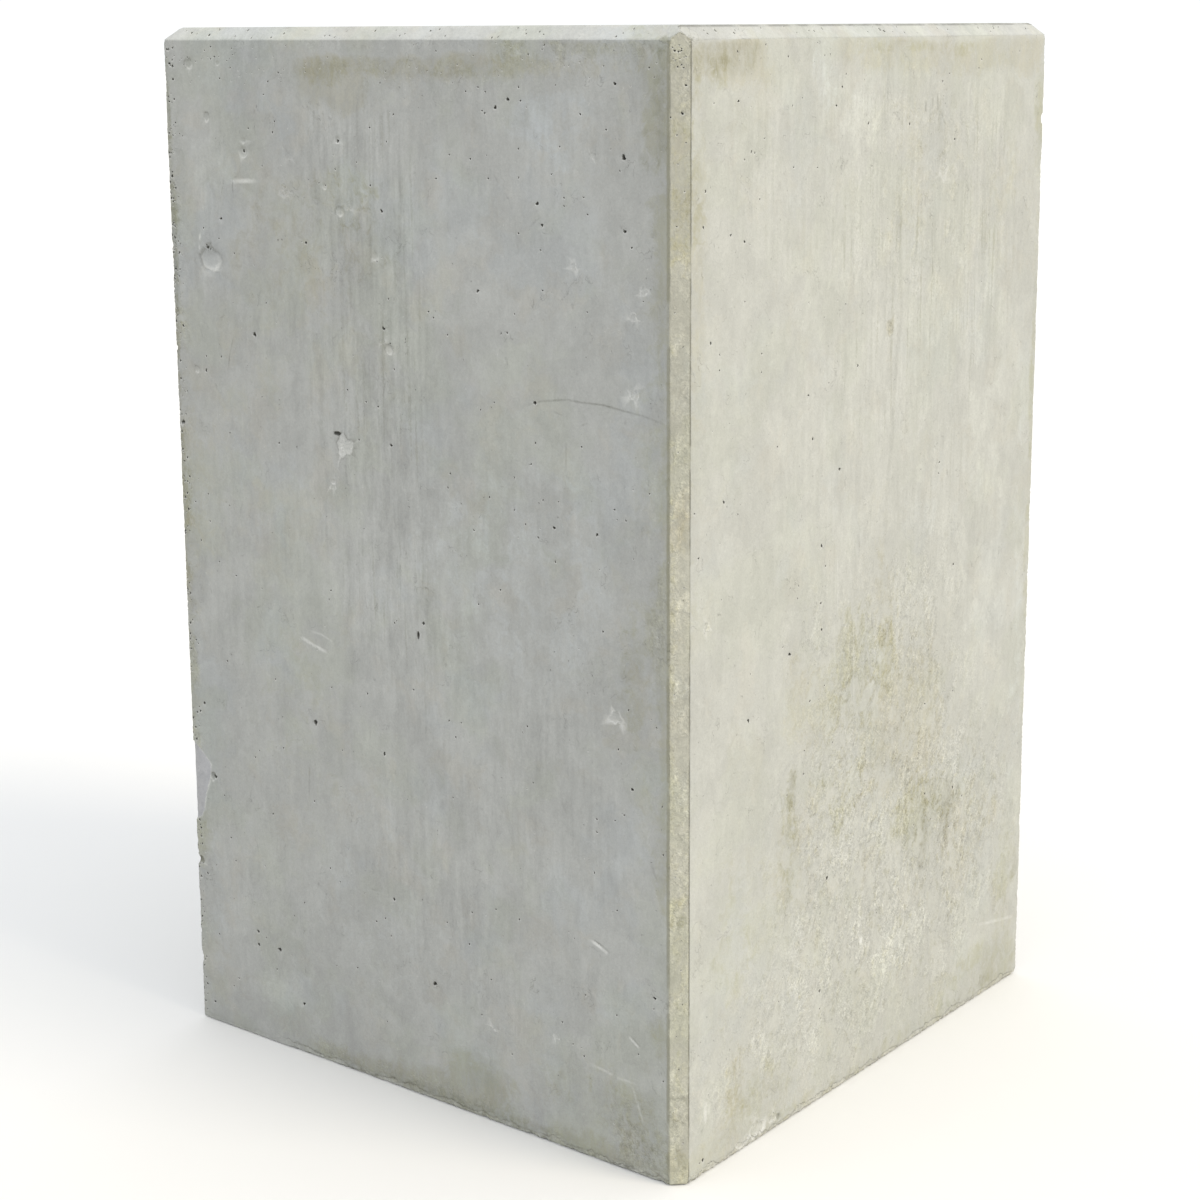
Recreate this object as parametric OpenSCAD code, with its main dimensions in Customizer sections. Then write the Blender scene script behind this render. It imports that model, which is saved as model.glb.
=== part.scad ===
// Precast reinforced concrete barrier block.
// A plain upright block with a chamfered top edge and two chamfered upright
// edges, a bar cage with a set concrete cover, two cast-in spherical-head
// lifting anchors in round recesses, and a lift-out cap over each recess.
// Units are millimetres. +Z is up, the origin is the middle of the base.

/* [Block] */
// Width of the block along X
body_w = 610; // [580:5:700]
// Depth of the block along Y
body_d = 610; // [580:5:700]
// Height of the block
body_h = 1000; // [960:10:1200]
// Leg of the chamfer round the top face
top_chamfer = 12; // [6:1:20]
// Leg of the chamfer on the two folded upright edges of the mould
edge_chamfer = 13; // [6:1:20]

/* [Bar cage] */
// Concrete cover outside the links
cover = 50; // [40:1:55]
// Diameter of the upright bars
bar_d = 12; // [10:1:14]
// Diameter of the closed links
link_d = 8; // [6:1:9]
// Diameter of the hairpin bars at the top and the base
pin_d = 10; // [8:1:11]
// Length of each hairpin leg
pin_leg = 330; // [250:10:380]
// Offset of the hairpins that run along X from the middle of the block
pin_off_x = 90; // [80:1:110]
// Offset of the hairpins that run along Y from the middle of the block
pin_off_y = 70; // [50:1:80]
// Diameter of the tie wire
wire_d = 1.6; // [1.2:0.2:1.8]

/* [Lifting anchors] */
// Distance between the two lifting anchors
anchor_pitch = 300; // [280:5:320]
// Diameter of the anchor shank
shank_d = 14; // [12:1:16]
// Diameter of the anchor's ball head
head_d = 25; // [22:1:26]
// Diameter of the anchor's forged foot
foot_d = 35; // [30:1:38]
// Length of the anchor
anchor_l = 170; // [140:5:200]
// Radius of the round recess about each anchor head
recess_r = 37; // [36:0.5:40]
// Depth of the cap's seat below the top face
seat_depth = 6; // [6:0.5:8]
// Width of the cap's seat
seat_w = 5; // [4:0.5:6]

/* [Recess caps] */
// Thickness of the cap's plate
cap_t = 3.5; // [3:0.5:4]
// Thickness of the foam seal ring
seal_t = 1.5; // [1:0.5:2]
// Play between the cap and its seat
cap_play = 0.6; // [0.4:0.1:1]

/* [Cover spacers] */
// Thickness of a wheel spacer
wheel_t = 14; // [10:1:16]
// Offset of the wheel spacers from the middle of each face
wheel_off = 150; // [140:1:165]

/* [Hidden] */
$fn = 64;

c = 0.05;                 // bond line between the concrete and what is cast in it
gap = 0.5;                // clearance between neighbouring bars of the cage
hw = body_w / 2;
hd = body_d / 2;
lx = hw - cover - link_d / 2;      // centreline of a link's sides
ly = hd - cover - link_d / 2;
link_bend = 2 * link_d + link_d / 2;
// a corner bar nests in the bend of the links
nest = (link_bend - link_d / 2 - bar_d / 2 - gap) / sqrt(2);
cbx = lx - link_bend + nest;
cby = ly - link_bend + nest;
sbx = lx - link_d / 2 - bar_d / 2 - gap;
sby = ly - link_d / 2 - bar_d / 2 - gap;
bar_z0 = cover;
bar_z1 = body_h - cover;
link_z0 = cover + 30;
link_step = (body_h - 2 * link_z0) / 6;
function link_z(i) = link_z0 + (i - 1) * link_step;
pin_bend = 2.5 * pin_d;
px = lx - link_d / 2 - pin_d / 2 - gap;
py = ly - link_d / 2 - pin_d / 2 - gap;
crown_x = body_h - cover - pin_d / 2;        // centreline of the crowns along X
crown_y = crown_x - pin_d - gap;             // those along Y lie just below
seat_r = recess_r + seat_w;
seat_z = body_h - seat_depth;
head_top = body_h - seat_depth - 10;
ax = anchor_pitch / 2;
cap_r = seat_r - cap_play;
skirt_r = recess_r - 2.5;
wheel_rx = hw - lx - 0.5;          // wheel radius on the faces across X
wheel_ry = hd - ly - 0.5;
wire_r = wire_d / 2;

concrete_c = [0.76, 0.76, 0.71];
steel_c = [0.42, 0.30, 0.22];
galv_c = [0.66, 0.67, 0.68];
cap_c = [0.30, 0.31, 0.32];
seal_c = [0.12, 0.12, 0.13];
plastic_c = [0.80, 0.79, 0.72];
wire_c = [0.33, 0.31, 0.30];

// ---- shapes that repeat ----

// straight bar along Z
module rod_z(x, y, z0, z1, d, g = 0)
    translate([x, y, z0 - g]) cylinder(h = z1 - z0 + 2 * g, d = d + 2 * g);

// quarter bend of a bar, from +X to +Y about Z
module bend(r, d, g = 0)
    rotate_extrude(angle = 90) translate([r, 0]) circle(d = d + 2 * g, $fn = 32);

// closed link with four rounded corners
module link_bar(z, g = 0) {
    sx = lx - link_bend;
    sy = ly - link_bend;
    translate([0, 0, z]) {
        for (s = [-1, 1]) {
            translate([-sx, s * ly, 0]) rotate([0, 90, 0]) cylinder(h = 2 * sx, d = link_d + 2 * g, $fn = 32);
            translate([s * lx, sy, 0]) rotate([90, 0, 0]) cylinder(h = 2 * sy, d = link_d + 2 * g, $fn = 32);
        }
        translate([sx, sy, 0]) bend(link_bend, link_d, g);
        translate([-sx, sy, 0]) rotate([0, 0, 90]) bend(link_bend, link_d, g);
        translate([-sx, -sy, 0]) rotate([0, 0, 180]) bend(link_bend, link_d, g);
        translate([sx, -sy, 0]) rotate([0, 0, 270]) bend(link_bend, link_d, g);
    }
}

// U-shaped bar in the XZ plane, crown up, its crown's centreline at z = 0
module hairpin(half, g = 0) {
    s = half - pin_bend;
    translate([-s, 0, 0]) rotate([0, 90, 0]) cylinder(h = 2 * s, d = pin_d + 2 * g, $fn = 32);
    translate([s, 0, -pin_bend]) rotate([90, 0, 0]) bend(pin_bend, pin_d, g);
    translate([-s, 0, -pin_bend]) rotate([90, 0, 180]) bend(pin_bend, pin_d, g);
    for (k = [-1, 1])
        translate([k * half, 0, -pin_bend - (pin_leg - pin_bend) - g])
            cylinder(h = pin_leg - pin_bend + g, d = pin_d + 2 * g, $fn = 32);
}
module top_pin_x(y, g = 0) translate([0, y, crown_x]) hairpin(px, g);
module top_pin_y(x, g = 0) translate([x, 0, crown_y]) rotate([0, 0, 90]) hairpin(py, g);
module base_pin_x(y, g = 0) translate([0, y, body_h - crown_x]) rotate([180, 0, 0]) hairpin(px, g);
module base_pin_y(x, g = 0) translate([x, 0, body_h - crown_y]) rotate([180, 0, 90]) hairpin(py, g);

// ball-headed lifting anchor, forged foot at the lower end
module anchor(x, g = 0) {
    r = shank_d / 2 + g;
    h = head_d / 2 + g;
    f = foot_d / 2 + g;
    z1 = head_top;
    z0 = head_top - anchor_l - g;
    translate([x, 0, 0]) rotate_extrude() polygon([
        [0, z0], [f - 1, z0], [f, z0 + 1], [f, z0 + 4.5 + g], [f - 3, z0 + 7 + g],
        [r + 2, z0 + 14 + g], [r, z0 + 19 + g],
        [r, z1 - 17], [r + 1.4, z1 - 14], [h - 1.2, z1 - 9], [h, z1 - 7],
        [h, z1 - 4.6], [h - 0.9, z1 - 2.4], [h - 3.2, z1 - 0.7], [h - 6.5, z1], [0, z1]]);
}

// round recess with a seat for the cap
module recess(x) {
    translate([x, 0, seat_z]) {
        sphere(r = recess_r);
        cylinder(h = seat_depth + 1, r = seat_r);
    }
}

// lift-out cap: plate, skirt and a finger cup with a bar across it
module cap(x) {
    z0 = seat_z + seal_t;
    z1 = z0 + cap_t;
    cup_r = 13;
    cup_floor = seat_z - 5.5;
    translate([x, 0, 0]) {
        difference() {
            union() {
                translate([0, 0, z0]) cylinder(h = cap_t - 0.8, r = cap_r);
                translate([0, 0, z1 - 0.8]) cylinder(h = 0.8, r1 = cap_r, r2 = cap_r - 0.8);
                translate([0, 0, seat_z - 9]) cylinder(h = 9 + seal_t + 0.5, r = skirt_r);
            }
            translate([0, 0, seat_z - 10]) cylinder(h = 10 + seal_t, r = skirt_r - 2.4);
            translate([0, 0, z0 - 1]) cylinder(h = cap_t + 2, r = cup_r - 1);
            for (a = [0:3]) rotate([0, 0, 45 + 90 * a])
                translate([skirt_r - 4, -2, seat_z - 10]) cube([6, 4, 7]);
            for (a = [0:5]) rotate([0, 0, 30 + 60 * a])
                translate([21, -1, z1 - 0.8]) cube([14, 2, 2]);
        }
        difference() {
            translate([0, 0, cup_floor]) cylinder(h = z1 - cup_floor, r = cup_r + 1);
            translate([0, 0, cup_floor + 1.8]) cylinder(h = z1 - cup_floor, r = cup_r - 1);
        }
        translate([0, 0, z1 - 3]) rotate([90, 0, 0]) cylinder(h = 2 * cup_r - 1, d = 4, center = true);
    }
}

module seal_ring(x)
    translate([x, 0, seat_z]) difference() {
        cylinder(h = seal_t, r = cap_r);
        translate([0, 0, -1]) cylinder(h = seal_t + 2, r = recess_r - 1.5);
    }

// wheel spacer round a link bar that runs along X
module wheel(r, g = 0, bored = true) {
    rotate([0, 90, 0]) difference() {
        union() {
            difference() {
                cylinder(h = wheel_t + 2 * g, r = r + g, center = true);
                cylinder(h = wheel_t + 10, r = r - 4 - g, center = true);
            }
            cylinder(h = wheel_t + 2 * g, r = link_d / 2 + 5 + g, center = true);
            for (a = [45, 135]) rotate([0, 0, a])
                cube([2 * r - 4, 4 + 2 * g, wheel_t - 4 + 2 * g], center = true);
        }
        if (bored) cylinder(h = wheel_t + 10, r = link_d / 2 + 0.15, center = true);
    }
}
module wheels_front(g = 0, bored = true)
    for (x = [-1, 1], i = [2, 6]) translate([x * wheel_off, -ly, link_z(i)]) wheel(wheel_ry, g, bored);
module wheels_right(g = 0, bored = true)
    for (y = [-1, 1], i = [2, 6]) translate([lx, y * wheel_off, link_z(i)]) rotate([0, 0, 90]) wheel(wheel_rx, g, bored);

// chair between the mould's floor, now the top face, and a hairpin crown
module chair(g = 0) {
    z0 = body_h - cover + gap;
    z1 = body_h - 0.5;
    translate([0, 0, z0 - g]) cylinder(h = 4 + 2 * g, r = 11 + g);
    translate([0, 0, z1 - 4 - g]) difference() {
        cylinder(h = 4 + 2 * g, r = 19 + g);
        translate([0, 0, -1]) cylinder(h = 10, r = 7 - g);
    }
    for (a = [0, 90, 180, 270]) rotate([0, 0, a + 45])
        translate([7.5 - g, -1.75 - g, z0 + 2]) cube([3 + 2 * g, 3.5 + 2 * g, z1 - z0 - 4]);
}
chair_x = 105;
module chairs(g = 0)
    for (x = [-1, 1], y = [-1, 1]) translate([x * chair_x, y * pin_off_x, 0]) chair(g);

// ring of tie wire with its twisted tail, round a crossing of two bars;
// the ring's centre is the origin, the tail points along +X
module tie(r, g = 0) {
    rotate_extrude() translate([r + wire_r, 0]) circle(r = wire_r + g, $fn = 24);
    translate([r + wire_r, 0, 0]) rotate([0, 90, 0]) cylinder(h = 13 + g, r = wire_r * 1.5 + g, $fn = 24);
}
tie_c = bar_d / 2 + link_d / 2 + 2.2;       // inner radius of a tie round a link and an upright bar
tie_p = pin_d + 2.2;                        // inner radius of a tie round two hairpin crowns
module corner_tie(sx, sy, z, g = 0) {
    // the bar and the link touch along the plan's diagonal; the ring is centred
    // between the bar's inner side and the link's outer side
    e = (nest * sqrt(2) - bar_d / 2 + link_bend + link_d / 2) / 2 / sqrt(2);
    translate([sx * (lx - link_bend + e), sy * (ly - link_bend + e), z])
        rotate([0, 0, atan2(sy, sx) + 180]) rotate([45, 0, 0]) tie(tie_c, g);
}
module side_tie(a, n, z, g = 0)
    rotate([0, 0, a]) translate([n, 0, z]) rotate([0, 0, 180]) rotate([45, 0, 0]) tie(tie_c, g);
module corner_ties(g = 0)
    for (sx = [-1, 1], sy = [-1, 1], i = [1, 3, 5, 7]) corner_tie(sx, sy, link_z(i), g);
module side_ties(g = 0) {
    for (i = [1, 4, 7]) {
        side_tie(0, lx - bar_d / 2 - gap / 2, link_z(i), g);
        side_tie(180, lx - bar_d / 2 - gap / 2, link_z(i), g);
        side_tie(90, ly - bar_d / 2 - gap / 2, link_z(i), g);
        side_tie(270, ly - bar_d / 2 - gap / 2, link_z(i), g);
    }
}
module crown_ties(g = 0)
    for (x = [-1, 1], y = [-1, 1])
        translate([x * pin_off_y, y * pin_off_x, (crown_x + crown_y) / 2])
            rotate([0, 90, 0]) rotate([45, 0, 0]) tie(tie_p, g);

// ---- the nodes ----

module block_shape() {
    difference() {
        translate([-hw, -hd, 0]) cube([body_w, body_d, body_h]);
        // chamfer round the top face
        for (s = [-1, 1]) {
            translate([0, s * hd, body_h]) rotate([45, 0, 0])
                cube([body_w + 40, top_chamfer * sqrt(2), top_chamfer * sqrt(2)], center = true);
            translate([s * hw, 0, body_h]) rotate([0, 45, 0])
                cube([top_chamfer * sqrt(2), body_d + 40, top_chamfer * sqrt(2)], center = true);
        }
        // chamfers on the two folded edges of the mould
        for (s = [-1, 1])
            translate([s * hw, -s * hd, body_h / 2]) rotate([0, 0, 45])
                cube([edge_chamfer * sqrt(2), edge_chamfer * sqrt(2), body_h + 40], center = true);
    }
}
module concrete_body() color(concrete_c) difference() {
    block_shape();
    recess(-ax);
    recess(ax);
    anchor(-ax, c);
    anchor(ax, c);
    for (sx = [-1, 1], sy = [-1, 1]) rod_z(sx * cbx, sy * cby, bar_z0, bar_z1, bar_d, c);
    for (s = [-1, 1]) {
        rod_z(s * sbx, 0, bar_z0, bar_z1, bar_d, c);
        rod_z(0, s * sby, bar_z0, bar_z1, bar_d, c);
        top_pin_x(s * pin_off_x, c);
        top_pin_y(s * pin_off_y, c);
        base_pin_x(s * pin_off_x, c);
        base_pin_y(s * pin_off_y, c);
    }
    for (i = [1:7]) link_bar(link_z(i), c);
    for (a = [0, 180]) rotate([0, 0, a]) {
        wheels_front(c, false);
        wheels_right(c, false);
    }
    chairs(c);
    corner_ties(c);
    side_ties(c);
    crown_ties(c);
    translate([0, 0, body_h]) mirror([0, 0, 1]) crown_ties(c);
}
module corner_bar(sx, sy) color(steel_c) rod_z(sx * cbx, sy * cby, bar_z0, bar_z1, bar_d);
module corner_bar_front_left() corner_bar(-1, -1);
module corner_bar_front_right() corner_bar(1, -1);
module corner_bar_rear_left() corner_bar(-1, 1);
module corner_bar_rear_right() corner_bar(1, 1);
module side_bar_front() color(steel_c) rod_z(0, -sby, bar_z0, bar_z1, bar_d);
module side_bar_rear() color(steel_c) rod_z(0, sby, bar_z0, bar_z1, bar_d);
module side_bar_left() color(steel_c) rod_z(-sbx, 0, bar_z0, bar_z1, bar_d);
module side_bar_right() color(steel_c) rod_z(sbx, 0, bar_z0, bar_z1, bar_d);
module link(i) color(steel_c) link_bar(link_z(i));
module top_hairpin_front() color(steel_c) top_pin_x(-pin_off_x);
module top_hairpin_rear() color(steel_c) top_pin_x(pin_off_x);
module top_hairpin_left() color(steel_c) top_pin_y(-pin_off_y);
module top_hairpin_right() color(steel_c) top_pin_y(pin_off_y);
module base_hairpin_front() color(steel_c) base_pin_x(-pin_off_x);
module base_hairpin_rear() color(steel_c) base_pin_x(pin_off_x);
module base_hairpin_left() color(steel_c) base_pin_y(-pin_off_y);
module base_hairpin_right() color(steel_c) base_pin_y(pin_off_y);
module lifting_anchor(x) color(galv_c) anchor(x);
module recess_cap(x) color(cap_c) cap(x);
module cap_seal(x) color(seal_c) seal_ring(x);
module wheel_spacers_front() color(plastic_c) wheels_front();
module wheel_spacers_rear() color(plastic_c) rotate([0, 0, 180]) wheels_front();
module wheel_spacers_left() color(plastic_c) rotate([0, 0, 180]) wheels_right();
module wheel_spacers_right() color(plastic_c) wheels_right();
module top_chairs() color(plastic_c) chairs();
module tie_wires_corner() color(wire_c) corner_ties();
module tie_wires_side() color(wire_c) side_ties();
module tie_wires_top() color(wire_c) crown_ties();
module tie_wires_base() color(wire_c) translate([0, 0, body_h]) mirror([0, 0, 1]) crown_ties();

concrete_body();
corner_bar_front_left();
corner_bar_front_right();
corner_bar_rear_left();
corner_bar_rear_right();
side_bar_front();
side_bar_rear();
side_bar_left();
side_bar_right();
link(1);  // link_1
link(2);  // link_2
link(3);  // link_3
link(4);  // link_4
link(5);  // link_5
link(6);  // link_6
link(7);  // link_7
top_hairpin_front();
top_hairpin_rear();
top_hairpin_left();
top_hairpin_right();
base_hairpin_front();
base_hairpin_rear();
base_hairpin_left();
base_hairpin_right();
lifting_anchor(-ax);  // lifting_anchor_left
lifting_anchor(ax);  // lifting_anchor_right
recess_cap(-ax);  // recess_cap_left
recess_cap(ax);  // recess_cap_right
cap_seal(-ax);  // cap_seal_left
cap_seal(ax);  // cap_seal_right
wheel_spacers_front();
wheel_spacers_rear();
wheel_spacers_left();
wheel_spacers_right();
top_chairs();
tie_wires_corner();
tie_wires_side();
tie_wires_top();
tie_wires_base();
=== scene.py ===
# Looks for the plain upright precast concrete barrier block.
# Everything is in metres, in the CAD frame: +Z up, origin in the middle of the base.
import bpy
import bmesh
import math
import numpy as np
from mathutils import Vector, Matrix
from mathutils.geometry import delaunay_2d_cdt


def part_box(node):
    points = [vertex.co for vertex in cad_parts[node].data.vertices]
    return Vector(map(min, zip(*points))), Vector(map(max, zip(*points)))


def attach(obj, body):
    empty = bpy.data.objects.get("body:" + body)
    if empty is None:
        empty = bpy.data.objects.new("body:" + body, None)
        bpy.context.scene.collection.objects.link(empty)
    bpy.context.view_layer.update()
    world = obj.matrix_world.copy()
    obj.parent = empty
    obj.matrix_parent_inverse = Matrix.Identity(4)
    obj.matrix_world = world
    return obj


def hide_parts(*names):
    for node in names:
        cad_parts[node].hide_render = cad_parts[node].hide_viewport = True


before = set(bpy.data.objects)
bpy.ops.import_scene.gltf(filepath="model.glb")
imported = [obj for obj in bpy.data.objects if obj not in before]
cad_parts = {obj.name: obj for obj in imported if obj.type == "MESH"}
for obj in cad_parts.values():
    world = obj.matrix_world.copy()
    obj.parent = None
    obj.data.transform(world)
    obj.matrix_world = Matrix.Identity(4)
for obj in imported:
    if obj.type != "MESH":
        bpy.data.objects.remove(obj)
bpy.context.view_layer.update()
scene = bpy.context.scene
SEED = 7


# ---------------------------------------------------------------- camera
def make_camera():
    yaw, pitch, roll = math.radians(-38.243), math.radians(11.692), math.radians(0.320)
    fw = Vector((math.sin(yaw) * math.cos(pitch), math.cos(yaw) * math.cos(pitch), -math.sin(pitch)))
    right = Vector((math.cos(yaw), -math.sin(yaw), 0.0))
    down = fw.cross(right)
    r = math.cos(roll) * right + math.sin(roll) * down
    d = -math.sin(roll) * right + math.cos(roll) * down
    m = Matrix((r, -d, -fw)).transposed().to_4x4()
    m.translation = Vector((1.4217, -1.8301, 0.9985))
    cam = bpy.data.objects.new("camera", bpy.data.cameras.new("camera"))
    scene.collection.objects.link(cam)
    cam.matrix_world = m
    cam.data.sensor_width = 36.0
    cam.data.sensor_fit = "HORIZONTAL"
    cam.data.lens = 2343.7 / 1200 * 36.0
    cam.data.shift_x = 0.0
    cam.data.shift_y = -88.5 / 1200
    cam.data.clip_end = 200
    scene.camera = cam


make_camera()


# ---------------------------------------------------------------- noise on numpy arrays
def _hash(x, y, z, seed):
    h = (x * 73856093) ^ (y * 19349663) ^ (z * 83492791) ^ (seed * 668265263)
    h &= 0xFFFFFFFF
    h = ((h ^ (h >> 15)) * 2246822519) & 0xFFFFFFFF
    h = ((h ^ (h >> 13)) * 3266489917) & 0xFFFFFFFF
    return ((h ^ (h >> 16)) & 0xFFFFFF) / float(0x7FFFFF) - 1.0


def noise(p, scale, seed=0):
    """value noise in [-1, 1] of points p (n, 3) in metres; scale is cells per metre, a number or a triple"""
    q = np.asarray(p, float) * np.asarray(scale, float) + 137.31
    i = np.floor(q).astype(np.int64)
    f = q - i
    u = f * f * f * (f * (f * 6 - 15) + 10)
    out = 0.0
    for dx in (0, 1):
        wx = u[:, 0] if dx else 1 - u[:, 0]
        for dy in (0, 1):
            wy = u[:, 1] if dy else 1 - u[:, 1]
            for dz in (0, 1):
                wz = u[:, 2] if dz else 1 - u[:, 2]
                out = out + wx * wy * wz * _hash(i[:, 0] + dx, i[:, 1] + dy, i[:, 2] + dz, seed)
    return out


def fbm(p, scale, seed=0, octaves=3):
    s = np.asarray(scale, float)
    out, a, t = 0.0, 1.0, 0.0
    for k in range(octaves):
        out = out + a * noise(p, s * 2 ** k, seed + 11 * k)
        t += a
        a *= 0.5
    return out / t


def smooth(a, b, x):
    t = np.clip((x - a) / (b - a), 0, 1)
    return t * t * (3 - 2 * t)


# ---------------------------------------------------------------- the block's frame
lo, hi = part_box("concrete_body")
HX, HY, H = hi.x, hi.y, hi.z
TC, EC = 0.012, 0.013            # chamfer legs: top, upright
clo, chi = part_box("recess_cap_left")
RX = abs((clo.x + chi.x) / 2)    # anchors stand at -RX and +RX
SEAT_R, REC_R, SEAT_D = 0.042, 0.037, 0.006

a, b, zt, k = HX, HY, H - TC, EC / 2
CORNERS = {
    "fl0": (-a, -b, 0), "fl1": (-a, -b, zt),
    "fr0": (a - EC, -b, 0), "fr1": (a - EC, -b, zt),
    "rf0": (a, -b + EC, 0), "rf1": (a, -b + EC, zt),
    "rr0": (a, b, 0), "rr1": (a, b, zt),
    "bl0": (-a + EC, b, 0), "bl1": (-a + EC, b, zt),
    "lb0": (-a, b - EC, 0), "lb1": (-a, b - EC, zt),
    "nt": (a - k, -b + k, zt + k), "kt": (-a + k, b - k, zt + k),
    "tfl": (-a + TC, -b + TC, H), "tfr": (a - TC, -b + TC, H),
    "trr": (a - TC, b - TC, H), "trl": (-a + TC, b - TC, H),
}
CORNERS = {n: np.array(p, float) for n, p in CORNERS.items()}
FACES = {
    "front": ["fl0", "fr0", "fr1", "fl1"],
    "strip_n": ["fr0", "rf0", "rf1", "nt", "fr1"],
    "right": ["rf0", "rr0", "rr1", "rf1"],
    "rear": ["rr0", "bl0", "bl1", "rr1"],
    "strip_k": ["bl0", "lb0", "lb1", "kt", "bl1"],
    "left": ["lb0", "fl0", "fl1", "lb1"],
    "ch_front": ["fl1", "fr1", "nt", "tfr", "tfl"],
    "ch_right": ["rf1", "rr1", "trr", "tfr", "nt"],
    "ch_rear": ["rr1", "bl1", "kt", "trl", "trr"],
    "ch_left": ["lb1", "fl1", "tfl", "trl", "kt"],
    "top": ["tfl", "tfr", "trr", "trl"],
    "bottom": ["fr0", "fl0", "lb0", "bl0", "rr0", "rf0"],
}


def face_frame(names):
    p = [CORNERS[n] for n in names]
    n = np.zeros(3)
    for i in range(len(p)):
        n += np.cross(p[i], p[(i + 1) % len(p)])
    n /= np.linalg.norm(n)                      # outward, corners run anticlockwise
    o = p[0]
    u = p[1] - p[0]
    u = u / np.linalg.norm(u)
    return o, u, np.cross(n, u), n

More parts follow.
